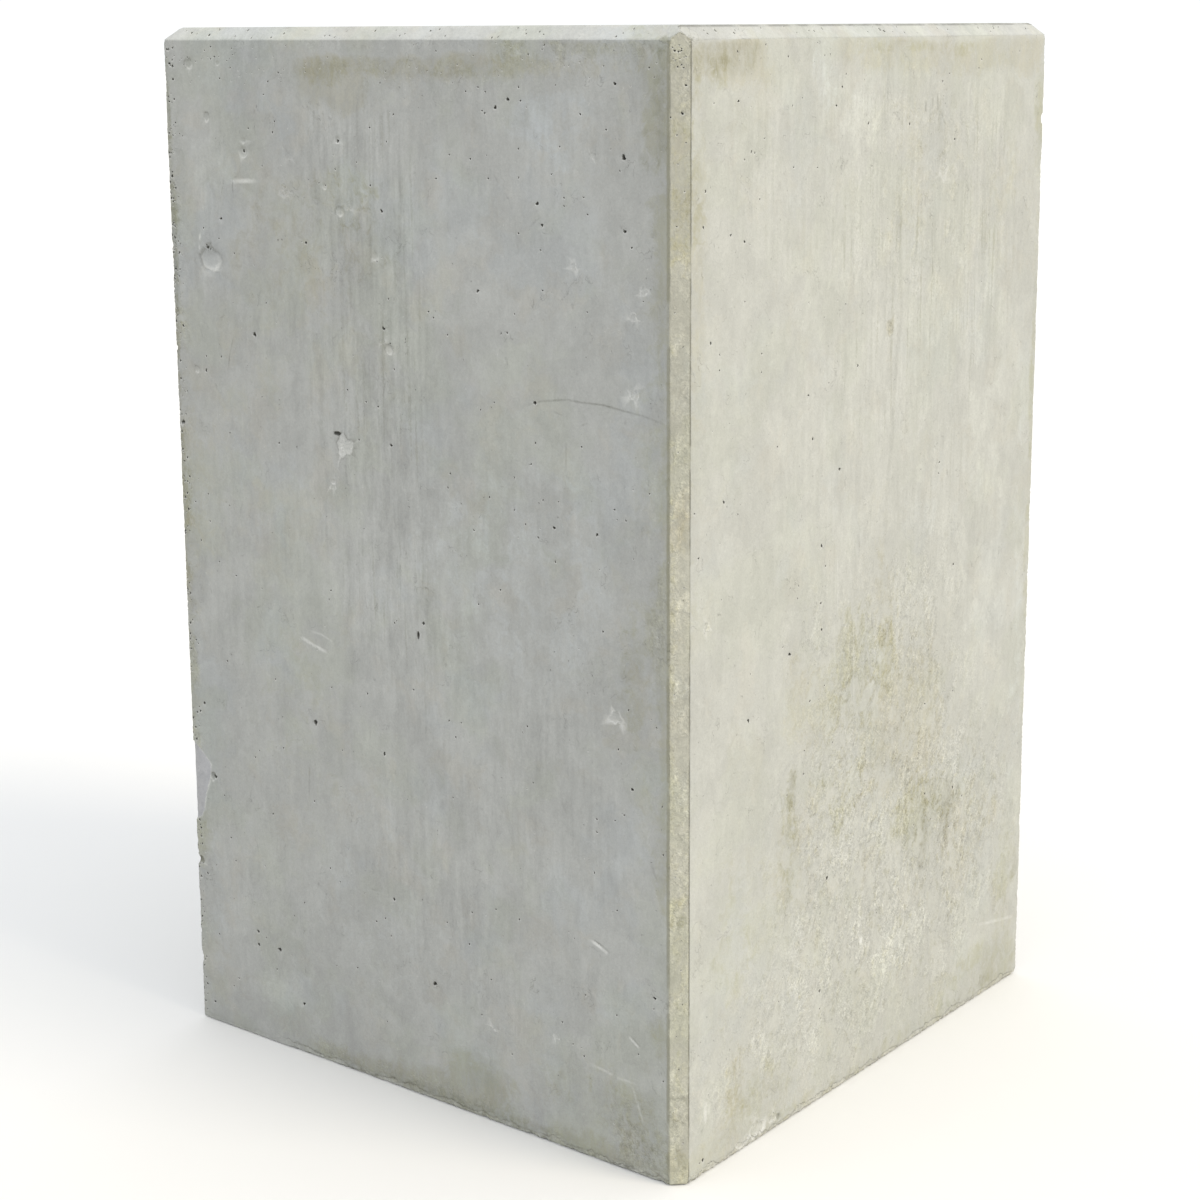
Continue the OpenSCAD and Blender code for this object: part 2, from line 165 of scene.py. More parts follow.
# Bug holes on the two near faces: place along the face and height in mm, radius in mm
FRONT_HOLES = [
    (-240, 971, 1.1), (-235, 973, 1.1), (-214, 963, 1.1), (-229, 953, 1.1), (-151, 959, 1.1), (-165, 951, 1.1),
    (-171, 939, 1.1), (-292, 911, 1.1), (-283, 899, 1.1), (-193, 908, 1.1), (-200, 887, 1.7), (-158, 915, 1.1),
    (-161, 905, 1.1), (-176, 874, 1.1), (-78, 899, 1.7), (-24, 951, 1.1), (-55, 881, 1.1), (-82, 874, 1.1),
    (-103, 861, 1.1), (-95, 859, 1.1), (-39, 861, 1.1), (-26, 839, 1.7), (-9, 924, 1.1), (-18, 900, 1.1),
    (-38, 912, 1.1), (-234, 823, 1.7), (-259, 813, 1.1), (-238, 804, 1.1), (-122, 806, 1.7), (-218, 791, 1.1),
    (-33, 794, 1.1), (98, 945, 1.1), (123, 939, 1.7), (109, 932, 1.7), (94, 929, 1.1), (97, 927, 1.1),
    (76, 945, 1.1), (135, 949, 1.1), (137, 938, 1.1), (237, 953, 1.7), (246, 894, 2.6), (201, 928, 1.1),
    (179, 901, 1.1), (134, 898, 1.1), (170, 878, 1.1), (134, 874, 1.1), (100, 872, 1.1), (40, 870, 1.1),
    (80, 888, 1.1), (56, 891, 1.1), (228, 916, 1.1), (242, 883, 1.1), (154, 853, 1.7), (159, 835, 1.7),
    (208, 846, 1.1), (183, 859, 1.1), (183, 852, 1.1), (204, 860, 1.1), (247, 834, 1.7), (133, 827, 1.1),
    (157, 814, 1.1), (254, 821, 1.1), (86, 775, 1.7), (28, 753, 1.1), (34, 748, 1.1), (207, 765, 1.1),
    (159, 780, 1.1), (272, 966, 1.1), (146, 976, 1.1), (-194, 716, 2.6), (-262, 690, 1.1), (-241, 691, 1.1),
    (-263, 676, 1.7), (-27, 734, 1.7), (-19, 721, 1.1), (-20, 761, 1.1), (-15, 698, 1.1), (-74, 674, 1.1),
    (-51, 665, 1.1), (-36, 662, 1.1), (-21, 628, 1.7), (-61, 629, 1.1), (-166, 615, 1.1), (-187, 657, 1.1),
    (-299, 622, 2.6), (-300, 563, 1.1), (-286, 544, 1.1), (-267, 554, 1.1), (-266, 527, 1.1), (-280, 506, 1.1),
    (-233, 618, 1.1), (-177, 747, 1.1), (112, 740, 1.1), (119, 741, 1.1), (50, 734, 1.1), (103, 679, 1.1),
    (149, 683, 1.7), (149, 648, 1.1), (200, 650, 1.1), (144, 629, 1.1), (125, 615, 1.1), (50, 610, 1.1),
    (47, 597, 1.1), (272, 618, 1.1), (235, 600, 1.1), (247, 592, 1.1), (137, 575, 1.1), (169, 576, 1.7),
    (216, 576, 1.7), (77, 562, 1.1), (124, 586, 1.1), (96, 594, 1.1), (170, 546, 1.1), (107, 512, 1.1),
    (151, 565, 1.1), (157, 599, 1.1), (87, 671, 1.1), (-129, 347, 2.6), (14, 467, 1.7), (-22, 462, 1.1),
    (-285, 339, 1.7), (-274, 264, 2.6), (-300, 239, 1.1), (-182, 381, 1.1), (-106, 386, 1.1), (-94, 326, 1.1),
    (-39, 333, 1.7), (-208, 304, 1.1), (-214, 296, 1.1), (-174, 313, 1.1), (-249, 388, 1.1), (-134, 267, 1.1),
    (0, 402, 1.1), (-59, 388, 1.1), (-103, 481, 1.1), (-232, 477, 1.1), (-255, 488, 1.1), (-261, 247, 1.1),
    (81, 495, 1.1), (253, 357, 1.7), (244, 332, 1.1), (214, 322, 1.1), (234, 325, 1.1), (214, 310, 1.1),
    (285, 348, 1.1), (286, 305, 1.1), (211, 272, 1.1), (136, 392, 1.1), (142, 341, 1.1), (51, 366, 1.1),
    (43, 380, 1.1), (58, 381, 1.1), (222, 492, 1.1), (249, 427, 1.1), (279, 417, 1.1), (238, 390, 1.1),
    (-115, 203, 1.1), (-102, 192, 1.1), (-152, 159, 1.1), (-31, 191, 1.7), (-192, 242, 1.1), (-219, 113, 1.7),
    (-208, 109, 1.1), (-219, 99, 1.7), (-189, 101, 2.6), (-194, 79, 1.1), (-157, 52, 1.7), (-82, 109, 1.1),
    (19, 119, 2.6), (-44, 64, 1.1), (-36, 153, 1.1), (-55, 163, 1.1), (-43, 169, 1.1), (36, 184, 1.1),
    (-277, 96, 1.1), (-258, 45, 1.1), (-250, 55, 1.1), (-277, 170, 1.1), (-248, 181, 1.1), (-254, 204, 1.1),
    (-167, 142, 1.1), (-110, 104, 1.1), (89, 141, 1.1), (77, 103, 1.1), (113, 74, 1.1), (173, 122, 1.1),
    (236, 243, 1.1), (277, 172, 1.7), (276, 162, 1.1), (200, 155, 1.1), (67, 201, 1.1), (96, 211, 1.1),
    (124, 208, 1.1), (63, 169, 1.1), (198, 96, 1.1), (259, 115, 1.1), (235, 145, 1.1), (286, 97, 1.1),
    (-255, 795, 1.7), (-256, 797, 1.1), (-251, 793, 1.1),
]
RIGHT_HOLES = [
    (-228, 978, 1.1), (-108, 984, 1.1), (-187, 983, 1.1), (-153, 973, 1.1), (-97, 973, 1.1), (-62, 957, 1.1),
    (-68, 946, 1.7), (-226, 938, 1.7), (-261, 937, 1.1), (-146, 932, 1.1), (-131, 938, 1.1), (-77, 930, 1.7),
    (-24, 913, 1.7), (47, 910, 1.7), (-188, 906, 1.1), (-207, 896, 1.7), (-202, 895, 1.1), (-217, 890, 1.1),
    (-272, 867, 1.7), (-194, 856, 1.1), (-275, 838, 1.7), (-236, 829, 1.7), (-216, 822, 1.7), (-143, 880, 1.1),
    (-106, 878, 1.1), (105, 947, 1.7), (-17, 875, 1.1), (130, 893, 1.7), (-117, 762, 1.1), (-215, 772, 1.1),
    (252, 973, 1.1), (177, 966, 1.1), (172, 958, 1.1), (117, 954, 1.1), (-264, 742, 2.2), (-251, 731, 1.1),
    (-251, 718, 1.1), (-189, 725, 1.1), (-189, 709, 1.1), (-116, 680, 1.7), (-83, 687, 1.1), (-35, 697, 1.7),
    (-108, 640, 2.2), (-63, 606, 2.2), (-164, 641, 1.1), (-244, 605, 2.2), (-223, 591, 1.1), (-286, 602, 1.1),
    (-280, 563, 1.7), (-91, 540, 2.4), (-84, 520, 1.1), (116, 586, 1.7), (115, 575, 1.1), (81, 584, 1.1),
    (148, 479, 1.7), (-57, 755, 1.1), (-128, 510, 1.1), (-91, 487, 1.7), (-89, 462, 2.2), (-152, 459, 1.1),
    (-141, 450, 2.4), (-129, 499, 1.1), (-205, 404, 2.4), (-107, 399, 1.7), (-92, 397, 1.1), (-68, 350, 1.1),
    (-115, 354, 1.1), (-116, 332, 1.1), (-83, 408, 1.1), (153, 349, 1.1), (99, 348, 1.7), (158, 247, 2.2),
    (103, 255, 1.7), (117, 270, 1.1), (177, 233, 1.7), (-74, 220, 2.6), (-84, 111, 2.2), (-83, 93, 1.1),
    (-153, 124, 1.1), (-143, 319, 1.1), (-271, 15, 2.2), (-276, 14, 1.1), (116, 225, 1.1), (83, 228, 1.1),
    (152, 207, 1.1),
]
STRIP_HOLES = [
    (11, 930, 1.8), (1.5, 927, 1.4), (6.6, 913, 1.0), (14, 907, 1.0), (6.7, 840, 1.0), (9.3, 109, 1.0),
    (3, 982, 1.0), (10.5, 981, 1.1), (14, 975, 1.0), (5.5, 972, 0.8), (12, 966, 0.9), (7.5, 890, 0.8), (13, 868, 0.8), (5, 770, 0.8),
    (12, 742, 0.8), (8, 655, 0.7), (13, 540, 0.8), (5, 448, 0.7), (10, 352, 0.8), (6, 286, 0.8), (11, 201, 0.9),
    (7, 140, 0.8), (13, 40, 0.9), (6, 26, 0.8),
]

# Scratches: face, points in mm, width, depth, tone (above 0 lighter, below 0 darker)
SCRATCHES = [
    ("front", [(137, 679), (156, 685), (186, 689), (199, 688), (224, 688), (246, 685), (264, 683), (287, 678)], 0.9, 0.35, -0.55),
    ("front", [(199, 668), (207, 671)], 0.8, 0.3, -0.4),
    ("front", [(169, 677), (180, 675)], 0.8, 0.3, -0.4),
    ("front", [(183, 653), (183, 639), (182.5, 625)], 0.8, 0.25, -0.3),
    ("front", [(-223, 711), (-229, 695), (-232, 679)], 0.8, 0.3, -0.45),
    ("front", [(-145, 429), (-129, 424), (-110, 419)], 1.6, 0.3, 0.6),
    ("front", [(-130, 437), (-117, 436), (-103, 431)], 0.9, 0.25, 0.4),
    ("front", [(207, 208), (216, 205), (226, 200)], 1.5, 0.7, 0.95),
    # painted shade: a dark line just above the pale scratch on the line before
    ("front", [(209, 209.5), (219, 206.5), (228, 202)], 0.8, 0.5, -0.5),
    ("front", [(248, 129), (260, 121)], 1.2, 0.5, 0.7),
    # painted shade: a dark line just above the pale scratch on the line before
    ("front", [(250, 130.5), (261.5, 122.5)], 0.7, 0.4, -0.4),
    ("front", [(208, 90), (220, 89), (232, 87)], 1.2, 0.4, 0.4),
    ("front", [(234, 86), (253, 86)], 1.2, 0.4, 0.35),
    ("front", [(252, 83), (257, 70), (264, 52)], 1.0, 0.3, 0.35),
    ("front", [(273, 294), (280, 279)], 1.2, 0.4, -0.3),
    ("front", [(-139, 302), (-140, 285), (-141, 269)], 1.0, 0.2, -0.35),
    ("front", [(-219, 858), (-208, 859), (-197, 859.5), (-184, 860)], 1.9, 0.3, 0.55),
    ("front", [(-215, 862), (-209, 863)], 0.9, 0.3, -0.4),
    ("front", [(-216.5, 861), (-217, 853), (-216, 846)], 0.8, 0.3, -0.35),
    ("front", [(-264, 808), (-265, 800)], 1.2, 0.3, 0.6),
    ("front", [(-266, 797), (-265, 791)], 1.2, 0.3, 0.5),
    ("front", [(-107.6, 876), (-108.4, 858), (-109, 838)], 2.6, 0.05, -0.26),
    ("front", [(-76, 889), (-76.8, 876), (-77.2, 862)], 2.4, 0.05, -0.22),
    ("front", [(-65, 918), (-66, 902), (-66.4, 883)], 2.0, 0.05, -0.20),
    ("front", [(-52.2, 934), (-53.4, 910), (-54, 886)], 2.2, 0.05, -0.22),
    ("front", [(-43.3, 910), (-44, 890), (-44.8, 870)], 2.0, 0.05, -0.20),
    ("front", [(-40, 829), (-40.6, 812), (-41.4, 792)], 2.4, 0.05, -0.22),
    ("front", [(-71, 828), (-72, 806), (-73, 782)], 2.6, 0.05, -0.20),
    ("front", [(-65, 786), (-66, 766), (-67, 742)], 2.2, 0.05, -0.18),
    ("front", [(-2, 876), (-3, 846), (-4, 815)], 2.8, 0.05, -0.26),
    ("front", [(-229.4, 927), (-230.6, 906), (-232, 882)], 2.2, 0.05, -0.14),
    ("front", [(-120, 700), (-121, 670), (-121.5, 640)], 2.4, 0.05, -0.16),
    ("front", [(-88, 742), (-89, 700), (-90, 655)], 2.4, 0.05, -0.15),
    ("front", [(-28, 770), (-29, 730), (-30, 680)], 2.4, 0.05, -0.16),
    ("right", [(75, 931), (75, 919)], 1.4, 0.3, -0.4),
    ("right", [(87, 933), (87.5, 921)], 1.4, 0.3, -0.4),
    ("right", [(96, 937), (97, 919)], 1.4, 0.3, -0.4),
    ("right", [(-64, 527), (-63, 498), (-62, 469)], 0.8, 0.15, 0.35),
    ("right", [(-35, 464), (-33.5, 420), (-32, 378)], 0.8, 0.15, 0.4),
    ("right", [(90, 745), (91.5, 714), (93, 683)], 0.9, 0.15, -0.25),
    ("right", [(91, 812), (93, 790), (95, 765)], 0.9, 0.15, -0.3),
    ("right", [(220, 81), (256, 74), (294, 67)], 1.6, 0.3, 0.45),
    ("right", [(-268, 69), (-267, 58), (-268, 48)], 2.4, 0.2, 0.6),
    ("right", [(-262, 64), (-261.5, 54)], 1.4, 0.2, 0.45),
    ("right", [(-13, 142), (-12, 134)], 2.4, 0.3, 0.9),
    ("right", [(28, 866), (40, 740), (28, 662), (25, 608), (19, 573), (16, 518)], 3.0, 0.12, -0.20),
]

# Shallow marks and flakes: face, place, half width, half height, depth, tone, kind
MARKS = [
    ("front", -271, 966, 6.8, 5.6, 0.7, -0.1, "ring"),
    ("front", -249, 917, 4.2, 5.4, 0.6, -0.1, "ring"),
    ("front", -250, 783, 18.0, 12.0, 1.0, 0.05, "ring"),
    ("front", -253.0, 796.5, 6.0, 3.4, 0.9, -0.3, "dish"),
    ("front", -298.5, 240.5, 2.8, 3.4, 1.6, -0.6, "dish"), ("front", -297.0, 229, 2.2, 3.0, 1.6, -0.6, "dish"),
    ("front", -78, 836, 6.8, 5.2, 0.7, 0.15, "ring"),
    ("front", -66, 842, 6.0, 4.5, 0.1, 0.22, "flake"),
    ("front", -21, 715, 6.0, 5.5, 0.7, 0.15, "ring"),
    ("front", -30, 722, 5.0, 3.0, 0.2, 0.3, "flake"),
    ("front", -199.5, 897, 3.6, 3.0, 0.6, 0.0, "dish"), ("front", -200.5, 886, 6.0, 5.6, 0.6, 0.0, "dish"),
    ("front", -78, 900, 4.5, 3.5, 0.6, 0.0, "dish"), ("front", -96, 858, 2.8, 3.0, 0.5, 0.1, "dish"),
    ("front", -148, 852, 6.5, 7.0, 0.15, 0.18, "flake"), ("front", -142, 884, 5.0, 5.0, 0.15, 0.14, "flake"),
    ("front", -35, 798, 4.0, 4.4, 0.6, 0.1, "dish"), ("front", -276, 676, 4.2, 4.2, 0.5, 0.05, "ring"),
    ("front", -276.5, 264.5, 3.6, 4.6, 2.0, -0.45, "dish"), ("front", -299, 171, 4.4, 4.4, 2.6, -0.6, "dish"),
    ("front", -231, 967, 2.6, 2.4, 0.5, -0.1, "dish"), ("front", -96, 586, 3.2, 2.6, 0.5, 0.1, "dish"),
    ("front", 192, 802, 4.0, 3.5, 0.4, 0.5, "flake"),
    ("front", 266, 786, 4.0, 4.5, 0.5, 0.55, "flake"),
    ("front", 255, 764, 4.0, 4.0, 0.4, 0.5, "flake"),
    ("front", 256, 699, 5.0, 5.0, 0.5, 0.5, "flake"),
    ("front", 235, 418, 7.5, 6.0, 0.8, 0.65, "flake"),
    ("front", -96, 581, 4.0, 3.0, 0.4, 0.4, "flake"),
    ("front", -80, 621, 11.0, 11.0, 1.0, 0.35, "patch"),
    ("front", -89, 632, 5.0, 2.2, 2.0, -0.9, "slot"),
    ("front", 214, 895, 4.0, 3.0, 0.3, 0.25, "flake"),
    ("front", 94, 94, 4.5, 3.0, 0.3, 0.4, "flake"),
    ("front", 166, 106, 4.0, 3.0, 0.3, 0.4, "flake"),
    ("front", 7, 455, 1.6, 4.2, 2.0, -0.9, "slot"),
    ("right", -268, 501, 5.0, 5.0, 0.3, 0.5, "flake"),
    ("right", 110, 869, 7.0, 16.0, 0.2, 0.3, "flake"),
    ("right", 21, 723, 5.0, 7.0, 0.0, -0.2, "flake"),
    ("right", -106, 984, 3.0, 2.0, 0.4, 0.3, "flake"),
    ("right", -186, 12, 13.0, 7.5, 1.8, 0.85, "flake"), ("right", -208, 6, 10.0, 5.5, 1.4, 0.8, "flake"), ("right", -160, 13, 9.0, 4.0, 1.2, 0.6, "flake"),
    ("right", -151, 9, 3.0, 4.5, 1.8, -0.6, "dish"),
]


# ---------------------------------------------------------------- the block's mesh
MM = 0.001
EDGE_STEP = {"sharp": 1.9, "strip": 2.6, "base": 1.9, "top": 2.8, "short": 1.6}


def edge_kind(a, b):
    pair = {a, b}
    if pair in ({"fl0", "fl1"}, {"rr0", "rr1"}):
        return "sharp"
    za, zb = CORNERS[a][2], CORNERS[b][2]
    length = np.linalg.norm(CORNERS[a] - CORNERS[b])
    if za == 0 and zb == 0 and length > 0.1:
        return "base"
    if length < 0.05:
        return "short"
    return "strip" if abs(za - zb) > 0.5 else "top"


class Skin:
    def __init__(self):
        self.P, self.edges, self.corner = [], {}, {}
        self.tris, self.tri_face, self.members, self.uvface = [], [], {}, []

    def add(self, p):
        self.P.append(p)
        return len(self.P) - 1

    def at_corner(self, n):
        if n not in self.corner:
            self.corner[n] = self.add(CORNERS[n])
        return self.corner[n]

    def edge(self, a, b):
        key = tuple(sorted((a, b)))
        if key not in self.edges:
            pa, pb = CORNERS[key[0]], CORNERS[key[1]]
            n = max(2, int(round(np.linalg.norm(pb - pa) / MM / EDGE_STEP[edge_kind(a, b)])))
            ids = [self.at_corner(key[0])]
            ids += [self.add(pa + (pb - pa) * i / n) for i in range(1, n)]
            ids.append(self.at_corner(key[1]))
            self.edges[key] = ids
        ids = self.edges[key]
        return ids if key[0] == a else ids[::-1]


def inside_distance(q, poly):
    """distance of the points q (n, 2) to the sides of a convex anticlockwise polygon, above 0 inside"""
    d = np.full(len(q), 1e9)
    for i in range(len(poly)):
        a, b = poly[i], poly[(i + 1) % len(poly)]
        t = (b - a) / np.linalg.norm(b - a)
        d = np.minimum(d, (q[:, 1] - a[1]) * t[0] - (q[:, 0] - a[0]) * t[1])
    return d


def hex_grid(lo, hi, s, rng):
    nx, ny = int((hi[0] - lo[0]) / s) + 2, int((hi[1] - lo[1]) / (s * 0.866)) + 2
    gx, gy = np.meshgrid(np.arange(nx), np.arange(ny))
    x = lo[0] + (gx + 0.5 * (gy % 2)) * s
    y = lo[1] + gy * s * 0.866
    q = np.stack([x.ravel(), y.ravel()], 1)
    return q + rng.uniform(-0.16, 0.16, q.shape) * s


def hole_shape(h, q):
    """how far out of hole h the points q lie: 1 on its rim"""
    cx, cz, ra, rb, ang, p1, p2 = h
    dx, dz = q[:, 0] - cx, q[:, 1] - cz
    x = dx * math.cos(ang) + dz * math.sin(ang)
    z = -dx * math.sin(ang) + dz * math.cos(ang)
    th = np.arctan2(z / rb, x / ra)
    r = np.hypot(x / ra, z / rb)
    return r / (1 + 0.17 * np.sin(2 * th + p1) + 0.12 * np.sin(3 * th + p2))


def hole_ring(h, f, n, phase):
    cx, cz, ra, rb, ang, p1, p2 = h
    th = np.arange(n) * 2 * math.pi / n + phase
    r = f * (1 + 0.17 * np.sin(2 * th + p1) + 0.12 * np.sin(3 * th + p2))
    x, z = ra * r * np.cos(th), rb * r * np.sin(th)
    return np.stack([cx + x * math.cos(ang) - z * math.sin(ang), cz + x * math.sin(ang) + z * math.cos(ang)], 1)


def line_points(pts, step):
    out = []
    for (x0, z0), (x1, z1) in zip(pts[:-1], pts[1:]):
        n = max(1, int(math.hypot(x1 - x0, z1 - z0) / step))
        out += [(x0 + (x1 - x0) * i / n, z0 + (z1 - z0) * i / n) for i in range(n)]
    return np.array(out + [pts[-1]], float)


def line_distance(q, pts):
    """distance to a polyline and the share of its length at the nearest point"""
    best, where, run = np.full(len(q), 1e9), np.zeros(len(q)), 0.0
    total = sum(math.dist(a, b) for a, b in zip(pts[:-1], pts[1:]))
    for a, b in zip(pts[:-1], pts[1:]):
        a, b = np.array(a, float), np.array(b, float)
        L = np.linalg.norm(b - a)
        t = np.clip(((q - a) @ (b - a)) / L ** 2, 0, 1)
        d = np.linalg.norm(q - a - t[:, None] * (b - a), axis=1)
        near = d < best
        best[near], where[near] = d[near], (run + t[near] * L) / total
        run += L
    return best, where


def face_xy(name, P):
    """place across the face and height, in mm, as the feature lists give them"""
    P = np.asarray(P) / MM
    if name in ("front", "rear"):
        return np.stack([P[:, 0], P[:, 2]], 1)
    if name in ("right", "left"):
        return np.stack([P[:, 1], P[:, 2]], 1)
    if name in ("strip_n", "strip_k"):
        o, u, v, n = face_frame(FACES[name])
        return np.stack([(P - o / MM) @ u, P[:, 2]], 1)
    return P[:, :2].copy()


def in_face(name, q):
    """back from the feature lists' coordinates to 3D"""
    q = np.asarray(q, float) * MM
    if name == "front":
        return np.stack([q[:, 0], np.full(len(q), -HY), q[:, 1]], 1)
    if name == "rear":
        return np.stack([q[:, 0], np.full(len(q), HY), q[:, 1]], 1)
    if name == "right":
        return np.stack([np.full(len(q), HX), q[:, 0], q[:, 1]], 1)
    if name == "left":
        return np.stack([np.full(len(q), -HX), q[:, 0], q[:, 1]], 1)
    if name in ("strip_n", "strip_k"):
        o, u, v, n = face_frame(FACES[name])
        return o + q[:, :1] * u + q[:, 1:] * np.array([0, 0, 1.0])
    if name.startswith("ch_"):
        x, y = q[:, 0], q[:, 1]
        rise = {"ch_front": y + HY, "ch_right": HX - x, "ch_rear": HY - y, "ch_left": x + HX}[name]
        return np.stack([x, y, H - TC + rise], 1)
    return np.stack([q[:, 0], q[:, 1], np.full(len(q), H)], 1)


def make_holes():
    """every bug hole of each face, as (x, z, half width, half height, turn, phase, phase), in mm"""
    rng = np.random.default_rng(SEED)
    out = {}

    def dress(lst, grow=1.0):
        made = []
        for x, z, r in lst:
            k = rng.uniform(0.85, 1.2)
            r *= grow * rng.uniform(0.9, 1.12)
            made.append((x, z, r * k, r / k, rng.uniform(0, 3.1), rng.uniform(0, 6.2), rng.uniform(0, 6.2)))
        return made

    def scatter(n, x0, x1, z0, z1, small=0.65, big=2.6):
        rr = small + (big - small) * rng.power(0.22, n)
        return [(rng.uniform(x0, x1), rng.uniform(z0, z1), r) for r in rr]

    hx, hy, h = HX / MM, HY / MM, H / MM
    # pits along the sharp arris at the left, thickest there and thinning across the face
    arris = [(-hx + abs(rng.normal(0, 7)), rng.uniform(5, h - 16), 0.45 + 0.9 * rng.power(0.5)) for _ in range(270)]
    out["front"] = dress([(x, z, r * (0.78 if r < 1.5 else 0.92)) for x, z, r in FRONT_HOLES]) + dress(arris) + dress(scatter(70, -hx + 4, hx - 18, 10, h - 20, 0.4, 0.75)) + dress(
        scatter(80, -hx + 6, hx - 18, h - 52, h - 14, 0.4, 0.9)) + dress(
        [(-hx + abs(rng.normal(0, 5)), rng.normal(820, 55), 0.6 + 0.9 * rng.power(0.6)) for _ in range(60)])
    out["right"] = dress(RIGHT_HOLES, 0.7) + dress(scatter(50, -hy + 18, hy - 5, 10, h - 20, 0.4, 0.6))
    crowd = [(9 + rng.normal(0, 4.2), 984 - abs(rng.normal(0, 14)), 0.4 + 0.6 * rng.power(0.5)) for _ in range(12)]
    out["strip_n"] = dress(STRIP_HOLES, 0.60) + dress([c for c in crowd if 1 < c[0] < 17.4 and c[1] < 990])
    out["strip_k"] = dress([(rng.uniform(1.5, 17), rng.uniform(8, h - 16), rng.uniform(0.6, 1.3)) for _ in range(34)])
    out["rear"] = dress(scatter(95, -hx + 16, hx - 4, 10, h - 16)) + dress(
        [(hx - abs(rng.normal(0, 8)), rng.uniform(5, h - 16), rng.uniform(0.6, 1.2)) for _ in range(55)])
    out["left"] = dress(scatter(105, -hy + 4, hy - 16, 10, h - 16)) + dress(
        [(-hy + abs(rng.normal(0, 8)), rng.uniform(5, h - 16), rng.uniform(0.6, 1.2)) for _ in range(80)])
    tops = [(x, y, r) for x, y, r in scatter(85, -hx + 16, hx - 16, -hy + 16, hy - 16)
            if min(math.hypot(x - RX / MM, y), math.hypot(x + RX / MM, y)) > SEAT_R / MM + 5]
    out["top"] = dress(tops)
    out["ch_front"] = dress([(-272, -298, 1.0), (-246, -300, 1.1), (-198, -296, 0.9), (-148, -299, 1.0), (-36, -297, 0.9), (140, -300, 0.8)] +
                            [(rng.uniform(-hx + 16, hx - 20), -hy + rng.uniform(2, 10), rng.uniform(0.5, 0.85)) for _ in range(26)])
    out["ch_right"] = dress([(298, -250, 1.1), (300, -226, 1.0), (299, -105, 0.9), (297, -90, 0.9), (298, 3, 1.5), (299.5, 8, 1.1)] +
                            [(hx - rng.uniform(2, 10), rng.uniform(-hy + 20, hy - 16), rng.uniform(0.5, 0.85)) for _ in range(22)])
    for nm in ("ch_rear", "ch_left"):
        for _ in range(30):
            t, w = rng.uniform(-hx + 20, hx - 20), rng.uniform(2, 10)
            out.setdefault(nm, []).extend(dress([(t, hy - w, rng.uniform(0.5, 1.2)) if nm == "ch_rear" else (-hx + w, t, rng.uniform(0.5, 1.2))]))
    return out


HOLES = make_holes()
CIRCLE = 120                          # points round each recess


def tidy_outline(tris, sides):
    """faces lying flat in one straight side are left out, and the faces behind them take in the points they skipped"""
    place = [{g: k for k, g in enumerate(side)} for side in sides]
    rim = set().union(*place)
    todo, out = list(tris), []
    while todo:
        t = todo.pop()
        if sum(g in rim for g in t) < 2:
            out.append(t)
            continue
        if any(all(g in at for g in t) for at in place):
            continue
        for k in range(3):
            p, q, r = t[k], t[(k + 1) % 3], t[(k + 2) % 3]
            i = next((i for i, at in enumerate(place) if p in at and q in at and abs(at[p] - at[q]) > 1), None)
            if i is not None:
                step = 1 if place[i][q] > place[i][p] else -1
                chain = [sides[i][m] for m in range(place[i][p], place[i][q] + step, step)]
                todo += [[chain[m], chain[m + 1], r] for m in range(len(chain) - 1)]
                break
        else:
            out.append(t)
    return out


